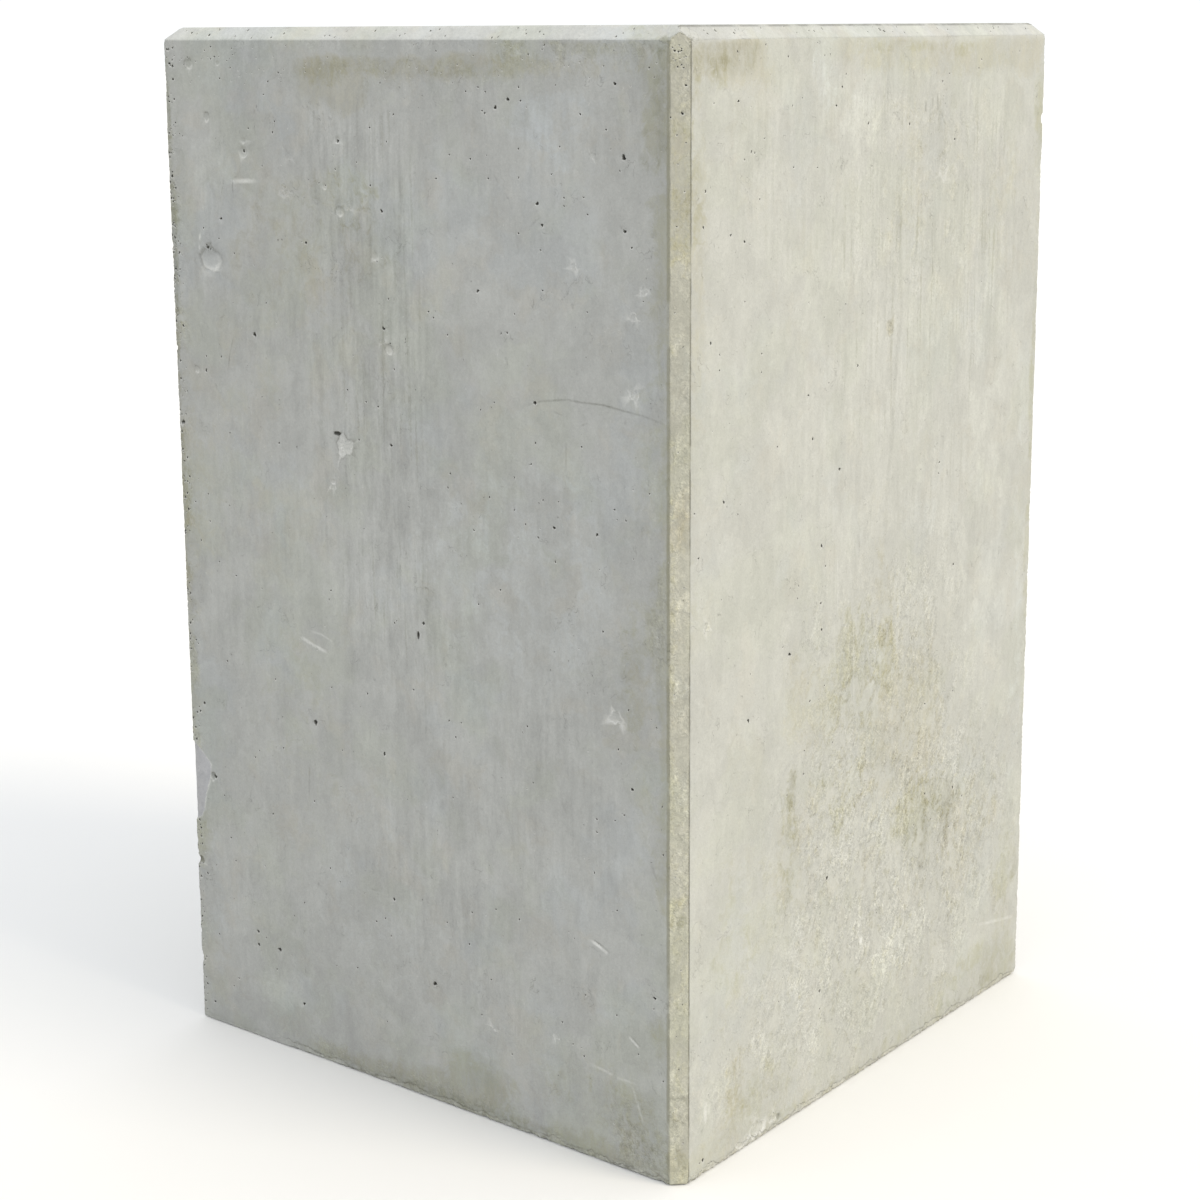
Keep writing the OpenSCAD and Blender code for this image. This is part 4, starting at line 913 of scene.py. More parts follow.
# ---------------------------------------------------------------- stains, as broad strengths on each face
# face, channel, x, z, half width, half height, strength, boxiness, softness (mm and shares)
O, B, L, D, C, R, S = "olive", "brown", "pale", "dark", "clean", "rough", "streak"
STAINS = [
    ("front", B, 20, 967, 162, 11, 0.88, 4, 0.4), ("front", O, 20, 967, 160, 9, 0.38, 4, 0.4), ("front", B, 200, 966, 80, 9, 0.42, 3, 0.7), ("front", B, 70, 952, 170, 12, 0.22, 3, 0.9),
    ("front", B, -84, 953, 42, 20, 0.86, 3, 0.4), ("front", B, -62, 936, 24, 12, 0.8, 2, 0.5), ("front", O, -92, 960, 30, 11, 0.7, 2, 0.6), ("front", D, -40, 945, 12, 22, 0.35, 2, 0.8), ("front", R, 0, 985, 300, 5, 0.25, 4, 0.6),
    ("front", O, -302, 420, 14, 330, 0.38, 5, 0.9), ("front", B, -303, 560, 26, 170, 0.5, 3, 0.9),
    ("front", O, -300, 220, 22, 60, 0.5, 3, 0.8), ("front", B, -290, 600, 40, 160, 0.3, 2, 1.0),
    ("front", O, 281, 938, 17, 52, 0.88, 3, 0.6), ("front", D, 284, 935, 9, 50, 0.60, 3, 0.7), ("front", O, 190, 981, 112, 8, 0.55, 3, 0.6), ("front", R, 190, 979, 112, 10, 0.6, 3, 0.6), ("front", O, 262, 968, 24, 12, 0.4, 2, 0.7), ("front", D, 268, 897, 7, 24, 0.5, 2, 0.7), ("front", O, 284, 830, 10, 70, 0.8, 3, 0.7),
    ("front", D, 275, 812, 6, 60, 0.35, 3, 0.8), ("front", O, 289, 620, 7, 380, 0.66, 4, 0.9), ("front", O, 272, 560, 22, 400, 0.26, 4, 0.9),
    ("front", O, 281, 508, 14, 62, 0.6, 3, 0.8), ("front", R, 281, 508, 10, 60, 0.6, 3, 0.8), ("front", O, 286, 288, 10, 26, 0.55, 2, 0.8),
    ("front", O, 284, 142, 13, 26, 0.6, 2, 0.8), ("front", D, 277, 984, 16, 6, 0.6, 3, 0.6),
    ("front", C, 172, 925, 62, 26, 0.9, 2, 0.8), ("front", C, 180, 910, 30, 40, 0.6, 2, 0.9),
    ("front", D, 247, 468, 9, 42, 0.34, 2, 0.9), ("front", O, 252, 490, 14, 60, 0.35, 2, 0.9), ("front", O, 245, 440, 30, 60, 0.45, 2, 1.0),
    ("front", L, -195, 52, 42, 32, 0.7, 2, 0.9), ("front", L, -150, 90, 60, 40, 0.3, 2, 1.0),
    ("front", O, 75, 34, 44, 26, 0.95, 2, 0.8), ("front", O, 20, 14, 70, 16, 0.9, 3, 0.8), ("front", O, -70, 12, 100, 9, 0.75, 3, 0.8), ("front", D, 50, 8, 110, 7, 0.5, 4, 0.8),
    ("front", R, 266, 34, 44, 42, 0.7, 3, 0.8), ("front", D, 262, 24, 34, 18, 0.35, 3, 0.8),
    ("front", O, 264, 40, 40, 40, 0.6, 3, 0.8), ("front", O, 120, 6, 260, 12, 0.72, 5, 0.9),
    ("front", D, -109, 850, 14, 44, 0.32, 2, 0.9), ("front", D, -60, 800, 28, 66, 0.34, 2, 1.0), ("front", O, -75, 850, 52, 80, 0.30, 2, 1.0), ("front", S, -60, 880, 72, 80, 0.85, 3, 0.7), ("front", O, -302, 870, 7, 110, 0.5, 3, 0.7), ("front", D, -303, 800, 6, 90, 1.0, 3, 0.7), ("front", D, -302, 930, 5, 40, 0.6, 3, 0.7), ("front", D, -303, 640, 4, 90, 0.6, 3, 0.7),
     ("front", D, -110, 665, 5, 100, 0.5, 3, 0.9),
    ("front", S, -25, 640, 60, 260, 0.95, 3, 0.7), ("front", S, -60, 720, 110, 240, 0.5, 3, 0.9),
    ("front", D, -26, 700, 50, 210, 0.28, 3, 0.9), ("front", B, -100, 800, 110, 130, 0.3, 2, 1.0),
    ("front", D, -170, 820, 90, 110, 0.22, 2, 1.0), ("front", B, -210, 640, 70, 260, 0.22, 3, 1.0),
    ("front", C, 120, 520, 150, 180, 0.35, 2, 1.0), ("front", L, 60, 560, 130, 60, 0.25, 2, 1.0),
    ("front", C, -60, 200, 150, 160, 0.25, 2, 1.0), ("front", L, -240, 880, 50, 60, 0.25, 2, 1.0),
    ("front", D, -230, 330, 60, 180, 0.22, 2, 1.0), ("front", O, -150, 330, 90, 230, 0.22, 2, 1.0),
    ("front", S, 60, 330, 200, 260, 0.35, 2, 1.0), ("front", O, 210, 60, 90, 50, 0.35, 2, 1.0),
    ("front", R, -303, 520, 16, 470, 0.7, 4, 0.9), ("front", O, -304, 520, 8, 470, 0.35, 4, 0.9),
    ("front", R, 60, 964, 210, 13, 0.30, 4, 0.8), ("front", R, -20, 12, 200, 12, 0.6, 3, 0.9),
    ("front", C, -280, 120, 14, 90, 0.5, 3, 0.9), ("front", D, -285, 880, 18, 90, 0.3, 2, 1.0),
    ("right", B, -240, 973, 54, 17, 0.95, 4, 0.35), ("right", D, -244, 975, 50, 15, 0.50, 4, 0.5), ("right", O, -262, 966, 30, 20, 0.42, 3, 0.6), ("right", B, -205, 958, 50, 20, 0.4, 2, 0.8),
    ("right", C, -92, 955, 30, 55, 0.5, 2, 0.9), ("right", B, 100, 971, 190, 17, 0.7, 4, 0.6), ("right", O, 60, 978, 120, 8, 0.4, 4, 0.7), ("right", D, 105, 893, 18, 60, 0.50, 2, 0.9), ("right", D, 128, 934, 10, 20, 0.5, 2, 0.8), ("right", D, -230, 925, 30, 24, 0.28, 2, 0.9), ("right", O, -284, 842, 12, 28, 0.45, 2, 0.9), ("right", O, -290, 900, 14, 90, 0.4, 3, 0.8),
    ("right", B, 272, 970, 34, 22, 0.8, 2, 0.8), ("right", O, 296, 900, 12, 60, 0.6, 3, 0.9),
    ("right", S, 110, 800, 190, 170, 0.95, 3, 0.7), ("right", B, 120, 840, 130, 120, 0.22, 2, 0.9),
    ("right", B, 40, 880, 60, 90, 0.22, 2, 0.9), ("right", S, -80, 880, 200, 110, 0.55, 3, 0.8),
    ("right", B, 250, 820, 50, 140, 0.25, 2, 1.0), ("right", L, 118, 868, 14, 20, 0.5, 2, 0.9),
    ("right", S, 40, 580, 240, 240, 0.5, 3, 0.9), ("right", B, 20, 560, 50, 120, 0.18, 2, 1.0),
    ("right", B, 12, 500, 13, 40, 0.55, 2, 0.9), ("right", B, 20, 455, 22, 50, 0.46, 2, 0.9), ("right", O, 26, 425, 18, 44, 0.54, 2, 0.9),
    ("right", O, -38, 455, 40, 54, 0.52, 2, 1.0), ("right", B, -130, 420, 18, 36, 0.5, 2, 0.9),
    ("right", O, -34, 395, 60, 50, 0.52, 2, 1.0), ("right", D, -40, 420, 14, 40, 0.25, 2, 0.9), ("right", B, -100, 380, 70, 60, 0.5, 2, 1.0),
    ("right", B, 60, 330, 110, 110, 0.7, 2, 1.0), ("right", O, -60, 300, 70, 60, 0.35, 2, 1.0), ("right", L, 20, 250, 40, 34, 0.5, 2, 0.9), ("right", L, 60, 120, 60, 30, 0.4, 2, 0.9),
    ("right", O, 110, 235, 62, 66, 0.6, 2, 0.9), ("right", D, 150, 222, 12, 40, 0.85, 2, 0.8), ("right", D, 126, 238, 34, 42, 0.22, 2, 1.0), ("right", O, 180, 34, 125, 24, 0.42, 4, 0.9), ("right", O, 270, 100, 26, 60, 0.42, 3, 0.9), ("right", D, 200, 13, 95, 9, 0.42, 5, 0.8), ("right", D, 168, 236, 6, 16, 0.7, 2, 0.7),
    ("right", D, 100, 184, 9, 22, 0.65, 2, 0.8), ("right", D, 108, 214, 12, 24, 0.6, 2, 0.8),
    ("right", D, -135, 312, 9, 30, 0.75, 2, 0.8), ("right", O, -137, 306, 18, 44, 0.4, 2, 0.9), ("right", O, -142, 246, 20, 54, 0.55, 2, 0.9), ("right", B, -120, 250, 40, 60, 0.4, 2, 1.0),
    ("right", B, 0, 215, 26, 20, 0.45, 2, 0.9), ("right", B, 190, 190, 80, 70, 0.45, 2, 1.0),
    ("right", O, 276, 155, 28, 50, 0.38, 2, 0.9), ("right", D, 294, 128, 10, 18, 0.5, 2, 0.9),
    ("right", R, 60, 210, 240, 160, 1.0, 3, 0.7), ("right", R, -60, 90, 250, 90, 0.75, 2, 0.9),
    ("right", R, 20, 400, 160, 130, 0.75, 2, 0.9), ("right", O, 262, 22, 50, 30, 0.6, 2, 0.8), ("right", R, 90, 850, 150, 130, 0.22, 3, 0.8), ("right", L, -60, 915, 60, 40, 0.4, 2, 0.7), ("right", L, 60, 960, 40, 24, 0.4, 2, 0.7),
    ("right", O, 170, 8, 150, 10, 0.45, 4, 0.9), ("right", O, -60, 8, 160, 12, 0.35, 4, 0.9),
    ("right", C, 160, 18, 30, 20, 0.5, 2, 0.9), ("right", L, 30, 112, 34, 26, 0.4, 2, 1.0),
    ("right", L, -265, 60, 16, 34, 0.6, 2, 0.9), ("right", B, -215, 60, 22, 60, 0.6, 2, 1.0),
    ("right", O, -180, 40, 60, 36, 0.5, 2, 1.0), ("right", B, -230, 20, 70, 22, 0.55, 3, 0.9),
    ("right", L, -150, 680, 130, 220, 0.15, 2, 1.0), ("right", L, 210, 560, 60, 260, 0.35, 3, 1.0),
    ("right", C, 280, 420, 16, 300, 0.4, 4, 0.9), ("right", O, 299, 560, 7, 300, 0.45, 5, 0.9),
    ("right", B, -284, 800, 16, 190, 0.65, 3, 0.9), ("right", O, -288, 560, 8, 120, 0.3, 3, 0.9), ("right", B, 21, 723, 6, 8, 0.9, 2, 0.3),
    ("right", O, -220, 200, 80, 160, 0.25, 2, 1.0), ("right", D, -20, 560, 3, 60, 0.3, 2, 0.9),
    ("strip_n", O, 9, 900, 12, 120, 0.45, 3, 0.9), ("strip_n", B, 10, 860, 12, 60, 0.4, 3, 0.9), ("strip_n", B, 12, 590, 7, 22, 0.7, 2, 0.7), ("strip_n", D, 13, 586, 4, 9, 0.5, 2, 0.8),
    ("strip_n", O, 2.5, 560, 4, 420, 0.4, 4, 0.9), ("strip_n", B, 9, 600, 14, 420, 0.2, 4, 0.9), ("strip_n", R, 9, 500, 16, 500, 0.85, 4, 0.9), ("strip_n", D, 9, 900, 14, 90, 0.34, 4, 0.9), ("strip_n", D, 9, 110, 14, 100, 0.16, 4, 0.9),
    ("strip_n", B, 10, 22, 12, 24, 0.9, 3, 0.8), ("strip_n", D, 13, 30, 6, 14, 0.5, 2, 0.8), ("strip_n", D, 7, 58, 6, 10, 0.4, 2, 0.8), ("strip_n", D, 12, 245, 5, 8, 0.7, 2, 0.8),
    ("strip_n", D, 10, 975, 12, 16, 0.5, 2, 0.8), ("strip_n", R, 9, 965, 14, 40, 0.9, 2, 0.9),
    ("strip_n", R, 9, 60, 14, 80, 0.7, 2, 0.9), ("strip_n", O, 12, 180, 8, 120, 0.35, 3, 0.9),
    ("ch_front", O, 270, 0, 40, 400, 0.5, 3, 0.8), ("ch_right", O, 0, -270, 400, 50, 0.6, 3, 0.8),
    ("ch_right", B, 0, 270, 400, 50, 0.35, 3, 0.8), ("ch_front", B, 190, 0, 120, 400, 0.25, 3, 0.8),
    ("rear", B, 40, 964, 240, 18, 0.8, 4, 0.5), ("rear", O, 60, 980, 180, 7, 0.3, 4, 0.6), ("rear", O, 296, 500, 12, 420, 0.32, 5, 0.9), ("rear", R, 298, 500, 12, 450, 0.6, 5, 0.9),
    ("rear", S, 90, 620, 170, 300, 0.9, 3, 0.8), ("rear", B, -60, 700, 130, 200, 0.4, 2, 1.0),
    ("rear", O, -180, 160, 120, 130, 0.35, 2, 1.0), ("rear", R, -40, 140, 240, 120, 0.8, 3, 0.8),
    ("rear", D, -150, 190, 12, 40, 0.35, 2, 0.9), ("rear", O, 120, 12, 170, 16, 0.45, 3, 0.9),
    ("rear", C, 190, 300, 100, 150, 0.4, 2, 1.0), ("rear", L, -200, 520, 80, 180, 0.35, 2, 1.0),
    ("rear", B, 30, 420, 60, 60, 0.5, 2, 1.0), ("rear", D, 60, 800, 5, 90, 0.5, 3, 0.9),
    ("rear", D, -30, 850, 4, 70, 0.5, 3, 0.9), ("rear", O, -286, 640, 8, 300, 0.3, 4, 0.9),
    ("left", B, -60, 966, 220, 16, 0.8, 4, 0.5), ("left", O, -301, 480, 10, 420, 0.3, 5, 0.9), ("left", R, -300, 480, 12, 460, 0.6, 5, 0.9),
    ("left", B, -270, 600, 40, 250, 0.4, 3, 1.0), ("left", S, 40, 680, 180, 280, 0.9, 3, 0.8),
    ("left", O, 130, 220, 120, 160, 0.32, 2, 1.0), ("left", R, 60, 140, 230, 130, 0.8, 3, 0.8),
    ("left", D, 150, 260, 10, 40, 0.35, 2, 0.9), ("left", C, -120, 420, 120, 160, 0.35, 2, 1.0),
    ("left", L, 60, 480, 100, 90, 0.3, 2, 1.0), ("left", O, -40, 12, 240, 14, 0.45, 4, 0.9),
    ("left", B, 200, 880, 70, 60, 0.55, 2, 0.9), ("left", D, -20, 760, 5, 120, 0.45, 3, 0.9),
    ("left", D, 90, 820, 4, 80, 0.45, 3, 0.9), ("left", O, 286, 500, 8, 380, 0.3, 4, 0.9),
    ("top", O, -40, -20, 280, 260, 0.28, 2, 1.0), ("top", D, 60, 150, 150, 60, 0.4, 2, 0.9),
    ("top", B, -190, -160, 90, 80, 0.5, 2, 1.0), ("top", O, 200, -200, 90, 70, 0.5, 2, 1.0),
    ("top", L, 0, 30, 120, 90, 0.5, 2, 1.0), ("top", O, 150, 0, 62, 58, 0.55, 2, 0.5),
    ("top", O, -150, 0, 62, 58, 0.55, 2, 0.5), ("top", B, 230, 190, 60, 90, 0.5, 2, 1.0),
    ("top", D, -230, 210, 70, 60, 0.45, 2, 1.0), ("top", R, -120, 180, 150, 90, 0.7, 2, 1.0),
    ("strip_k", O, 9, 500, 14, 480, 0.5, 5, 0.9), ("strip_k", B, 9, 860, 12, 90, 0.6, 3, 0.9),
    ("strip_k", R, 9, 80, 14, 90, 0.7, 2, 0.9), ("ch_rear", O, 120, 0, 150, 400, 0.4, 3, 0.8),
    ("ch_left", O, 0, 60, 400, 150, 0.4, 3, 0.8),
]
CHANNELS = (O, B, L, D, C, R, S)


def face_stains(name, P):
    q = face_xy(name, P)
    out = {c: np.zeros(len(P)) for c in CHANNELS}
    wob = np.stack([fbm(P, 12, 61, 3), fbm(P, 12, 62, 3)], 1)
    for face, ch, x, z, rx, rz, s, box, soft in STAINS:
        if face != name:
            continue
        k = min(rx, rz, 60) * 0.55
        d = np.abs((q + wob * (min(rx, 60) * 0.5, min(rz, 90) * 0.5) - (x, z)) / (rx, rz))
        e = (d[:, 0] ** box + d[:, 1] ** box) ** (1 / box)
        v = s * smooth(1 + 0.35 * soft, 1 - 0.75 * soft, e)
        out[ch] = 1 - (1 - out[ch]) * (1 - v)
    return out


# weights of each face for the material's base colours: the front's darker cool grey (painted shade), the right face's
# paler warm cream (painted light), the strip's beige, and the pale colour of the upward faces (painted light), which
# also marks those faces as upward
def side_and_light_weights(name):
    return {"front": (1, 0, 0, 0), "right": (0, 1, 0, 0), "ch_right": (0, 0.25, 0, 0.80), "strip_n": (0, 0, 1, 0), "strip_k": (0, 0, 1, 0),
            "rear": (0.55, 0.45, 0, 0), "left": (0.75, 0.25, 0, 0), "bottom": (0.5, 0.5, 0, 0)}.get(name, (0, 0, 0, 1))


def make_block():
    sk = build_skin()
    P = np.array(sk.P)
    disp = np.zeros_like(P)
    tri = np.array(sk.tris)
    face_of = np.array(sk.tri_face)
    wear = np.zeros(len(P))
    values = {}
    for name, ids in sk.members.items():
        Q = P[ids]
        if name == "pocket":
            # the recess pockets get a faint painted shade
            values[name] = dict(hollow_shade=np.full(len(ids), 0.35), tone=np.zeros(len(ids)), **{c: np.zeros(len(ids)) for c in CHANNELS})
            continue
        n = outward(name)
        if name == "bottom":
            depth = 0.15 + 0.15 * (0.5 + 0.5 * noise(Q, 20, 71)) + 0.0 * Q[:, 0]
            hollow_shade = tone = rough = np.zeros(len(Q))
        else:
            depth, hollow_shade, tone, rough = face_hollows(name, Q)
        disp[ids] -= n * (depth * MM)[:, None]
        st = face_stains(name, Q)
        st[R] = np.maximum(st[R], rough)
        values[name] = dict(hollow_shade=hollow_shade, tone=tone, **st)
    for a, b, fa, fb, kind in WEAR:
        pa, pb = CORNERS[a], CORNERS[b]
        t = (pb - pa) / np.linalg.norm(pb - pa)
        na, nb = outward(fa), outward(fb)
        m = (na + nb) / np.linalg.norm(na + nb)
        sin = math.sqrt(max(0.0, 1 - float(na @ m) ** 2))
        ids = np.unique(np.concatenate([sk.members[fa], sk.members[fb]]))
        Q = P[ids] - pa
        s = Q @ t
        d = np.linalg.norm(Q - s[:, None] * t, axis=1) / MM
        on = pa + s[:, None] * t
        near = d < 9
        ids, d, on = ids[near], d[near], on[near]
        w = wear_width(kind, a, b, on)
        d = d * (1 + 0.25 * noise(P[ids], 480, 72))
        cut = np.clip(w - d, 0, None) * sin
        cut = cut + np.where(cut > 0.2, 0.3 * np.clip(cut, 0, 1.2) * noise(P[ids], 520, 73), 0)
        disp[ids] -= m * (cut * MM)[:, None]
        wear[ids] = np.maximum(wear[ids], np.clip(cut / 1.2, 0, 1))
    X = P + disp
    # the long chip in the left arris: a shallow face broken back into the front
    zone = (P[:, 0] < -0.262) & (P[:, 1] < -0.285) & (np.abs(P[:, 2] - 0.258) < 0.06)
    ids = np.nonzero(zone)[0]
    q = np.stack([P[ids, 0], P[ids, 2]], 1) / MM
    poly = [(x + 1.2 * math.sin(z * 0.9), z) for x, z in CHIP]
    rim = np.full(len(q), 1e9)
    d, _ = line_distance(q, poly)
    inn = inside_poly(q, poly)
    dep = np.where(inn, 0.5 + np.minimum(0.30 * d, 1.0) + 0.055 * np.clip(-277 - q[:, 0], 0, 30) + 0.25 * noise(P[ids], 150, 75), 0)
    cutplane = -HY + dep * MM
    move = inn & (X[ids, 1] < cutplane)
    X[ids[move], 1] = cutplane[move] + (X[ids[move], 1] + HY) * 0.03
    wear[ids[move]] = 0.5
    chip_ids = ids[move]
    for cx, cy, cz, R_ in chips():
        c = np.array((cx, cy, cz)) * MM
        near = np.nonzero(np.abs(X - c).max(1) < R_ * MM)[0]
        if not len(near):
            continue
        v = X[near] - c
        r = np.linalg.norm(v, axis=1)
        lim = R_ * MM * (1 + 0.05 * noise(P[near], 330, 76))
        m = r < lim
        hit = near[m]
        X[hit] = c + v[m] / r[m][:, None] * lim[m][:, None]
        wear[hit] = np.maximum(wear[hit], 0.8)
    X[:, 0] = np.clip(X[:, 0], -HX, HX)
    X[:, 1] = np.clip(X[:, 1], -HY, HY)
    X[:, 2] = np.clip(X[:, 2], 0, H)
    me = bpy.data.meshes.new("barrier_block")
    used = np.zeros(len(P), bool)
    used[tri.ravel()] = True
    remap = np.cumsum(used) - 1
    T = remap[tri]
    me.from_pydata(X[used].tolist(), [], T.tolist())
    # values on face corners
    def corner(ch):
        out = np.zeros((len(tri), 3))
        for name, ids in sk.members.items():
            sel = face_of == name
            if not sel.any():
                continue
            order = np.argsort(ids)
            if name == "pocket":
                known = np.full(len(P), values[name][ch][0] if ch != "wear" else 0.0)
                out[sel] = known[tri[sel]]
                continue
            out[sel] = values[name][ch][order][np.searchsorted(ids[order], tri[sel])]
        return out.ravel()

    def colour_layer(name, channels):
        lay = me.color_attributes.new(name, "FLOAT_COLOR", "CORNER")
        data = np.stack(channels, 1).astype(np.float32)
        lay.data.foreach_set("color", data.ravel())

    ch = {c: corner(c) for c in CHANNELS + ("hollow_shade", "tone")}
    wr = wear[tri].ravel()
    colour_layer("stain_a", [ch[O], ch[B], ch[L], ch[D]])
    colour_layer("stains_and_hollow_shade", [ch[C], ch[R], ch[S], ch["hollow_shade"]])
    colour_layer("mark_and_painted_light", [np.clip(ch["tone"], 0, 1), np.clip(-ch["tone"], 0, 1), wr, np.isin(tri, chip_ids).ravel().astype(float)])
    w = np.array([side_and_light_weights(n) for n in face_of], float)
    colour_layer("side", [np.repeat(w[:, k], 3) for k in range(4)])
    # one atlas: three sides in a row, the fourth lying above them beside the top
    uv = me.uv_layers.new(name="OFBake")
    side = 1.86
    lay = {"front": (0.01, 0.01, 0), "right": (0.625, 0.01, 0), "rear": (1.24, 0.01, 0), "left": (0.01, 1.02, 1),
           "top": (1.03, 1.02, 0), "bottom": (1.03, 1.64, 2), "strip_n": (0.01, 1.645, 1), "strip_k": (0.01, 1.67, 1),
           "ch_front": (0.01, 1.70, 0), "ch_right": (0.01, 1.725, 0), "ch_rear": (0.01, 1.75, 0), "ch_left": (0.01, 1.775, 0)}
    out = np.zeros((len(tri), 3, 2))
    for name, (x0, y0, turn) in lay.items():
        sel = face_of == name
        o, u, v, n = face_frame(FACES[name])
        V = P[tri[sel]]
        a, b = (V - o) @ u, (V - o) @ v
        a, b = a - a.min(), b - b.min()
        if turn == 1:
            a, b = b, a.max() - a
        if turn == 2:
            a, b = a * 0.3, b * 0.3
        out[sel] = np.stack([a + x0, b + y0], -1)
    sel = np.nonzero(face_of == "pocket")[0]
    V = P[tri[sel]]
    cx = np.where(V[..., 0].mean(1) > 0, RX, -RX)[:, None]
    dx, dy = V[..., 0] - cx, V[..., 1]
    r = np.hypot(dx, dy)
    grow = 1 + (H - V[..., 2]) * 3.5
    flat = np.where(r > 1e-6, 0.62, 1)
    out[sel] = np.stack([1.30 + (cx > 0) * 0.16 + dx * grow * 0.62 + 0.07, 1.73 + dy * grow * 0.62], -1)
    uv.data.foreach_set("uv", (out / side).ravel())
    me.polygons.foreach_set("use_smooth", np.ones(len(tri), bool))
    me.update()
    me.validate()
    me.set_sharp_from_angle(angle=math.radians(38))
    ob = bpy.data.objects.new("barrier_block", me)
    scene.collection.objects.link(ob)
    print("block mesh:", len(me.vertices), "points,", len(me.polygons), "triangles")
    return ob


# ---------------------------------------------------------------- material helpers
class Graph:
    def __init__(self, name):
        self.mat = bpy.data.materials.new(name)
        self.mat.use_nodes = True
        self.t = self.mat.node_tree
        self.t.nodes.clear()
        self.out = self.node("ShaderNodeOutputMaterial")
        self.bsdf = self.node("ShaderNodeBsdfPrincipled")
        self.t.links.new(self.bsdf.outputs[0], self.out.inputs["Surface"])

    def node(self, kind, **props):
        n = self.t.nodes.new(kind)
        for k, v in props.items():
            setattr(n, k, v)
        return n

    def plug(self, socket, value):
        if isinstance(value, bpy.types.NodeSocket):
            self.t.links.new(value, socket)
        elif isinstance(value, (tuple, list)) and socket.type == "RGBA":
            socket.default_value = (*value[:3], 1.0)
        else:
            socket.default_value = value

    def obj(self):
        if not hasattr(self, "_obj"):
            self._obj = self.node("ShaderNodeTexCoord").outputs["Object"]
        return self._obj

    def attr(self, name):
        n = self.node("ShaderNodeAttribute", attribute_type="GEOMETRY", attribute_name=name)
        s = self.node("ShaderNodeSeparateColor")
        self.plug(s.inputs[0], n.outputs["Color"])
        return s.outputs[0], s.outputs[1], s.outputs[2], n.outputs["Alpha"]

    def scale(self, v, s):
        n = self.node("ShaderNodeVectorMath", operation="MULTIPLY")
        self.plug(n.inputs[0], v)
        self.plug(n.inputs[1], s)
        return n.outputs[0]

    def vadd(self, a, b):
        n = self.node("ShaderNodeVectorMath", operation="ADD")
        self.plug(n.inputs[0], a)
        self.plug(n.inputs[1], b)
        return n.outputs[0]

    def m(self, op, a, b=None, c=None, clamp=False):
        n = self.node("ShaderNodeMath", operation=op, use_clamp=clamp)
        for i, v in enumerate((a, b, c)):
            if v is not None:
                self.plug(n.inputs[i], v)
        return n.outputs[0]

    def noise(self, v, scale=1.0, detail=2.0, rough=0.5, dist=0.0, color=False):
        n = self.node("ShaderNodeTexNoise")
        self.plug(n.inputs["Vector"], v)
        n.inputs["Scale"].default_value = scale
        n.inputs["Detail"].default_value = detail
        n.inputs["Roughness"].default_value = rough
        n.inputs["Distortion"].default_value = dist
        return n.outputs["Color" if color else "Fac"]

    def voronoi(self, v, scale=1.0, feature="F1", out="Distance", rand=1.0):
        n = self.node("ShaderNodeTexVoronoi", feature=feature)
        self.plug(n.inputs["Vector"], v)
        n.inputs["Scale"].default_value = scale
        n.inputs["Randomness"].default_value = rand
        return n.outputs[out], n.outputs["Color"]

    def ramp(self, v, lo, hi, a=0.0, b=1.0, smoothed=True):
        n = self.node("ShaderNodeMapRange", interpolation_type="SMOOTHSTEP" if smoothed else "LINEAR")
        for i, x in enumerate((v, lo, hi, a, b)):
            self.plug(n.inputs[i], x)
        return n.outputs[0]

    def mix(self, f, a, b, blend="MIX"):
        n = self.node("ShaderNodeMix", data_type="RGBA", blend_type=blend)
        self.plug(n.inputs[0], f)
        self.plug(n.inputs[6], a)
        self.plug(n.inputs[7], b)
        return n.outputs[2]

    def bump(self, height, strength, distance, normal=None):
        n = self.node("ShaderNodeBump")
        self.plug(n.inputs["Strength"], strength)
        self.plug(n.inputs["Distance"], distance)
        self.plug(n.inputs["Height"], height)
        if normal is not None:
            self.plug(n.inputs["Normal"], normal)
        return n.outputs[0]

    def set(self, **kw):
        for k, v in kw.items():
            self.plug(self.bsdf.inputs[k.replace("_", " ")], v)


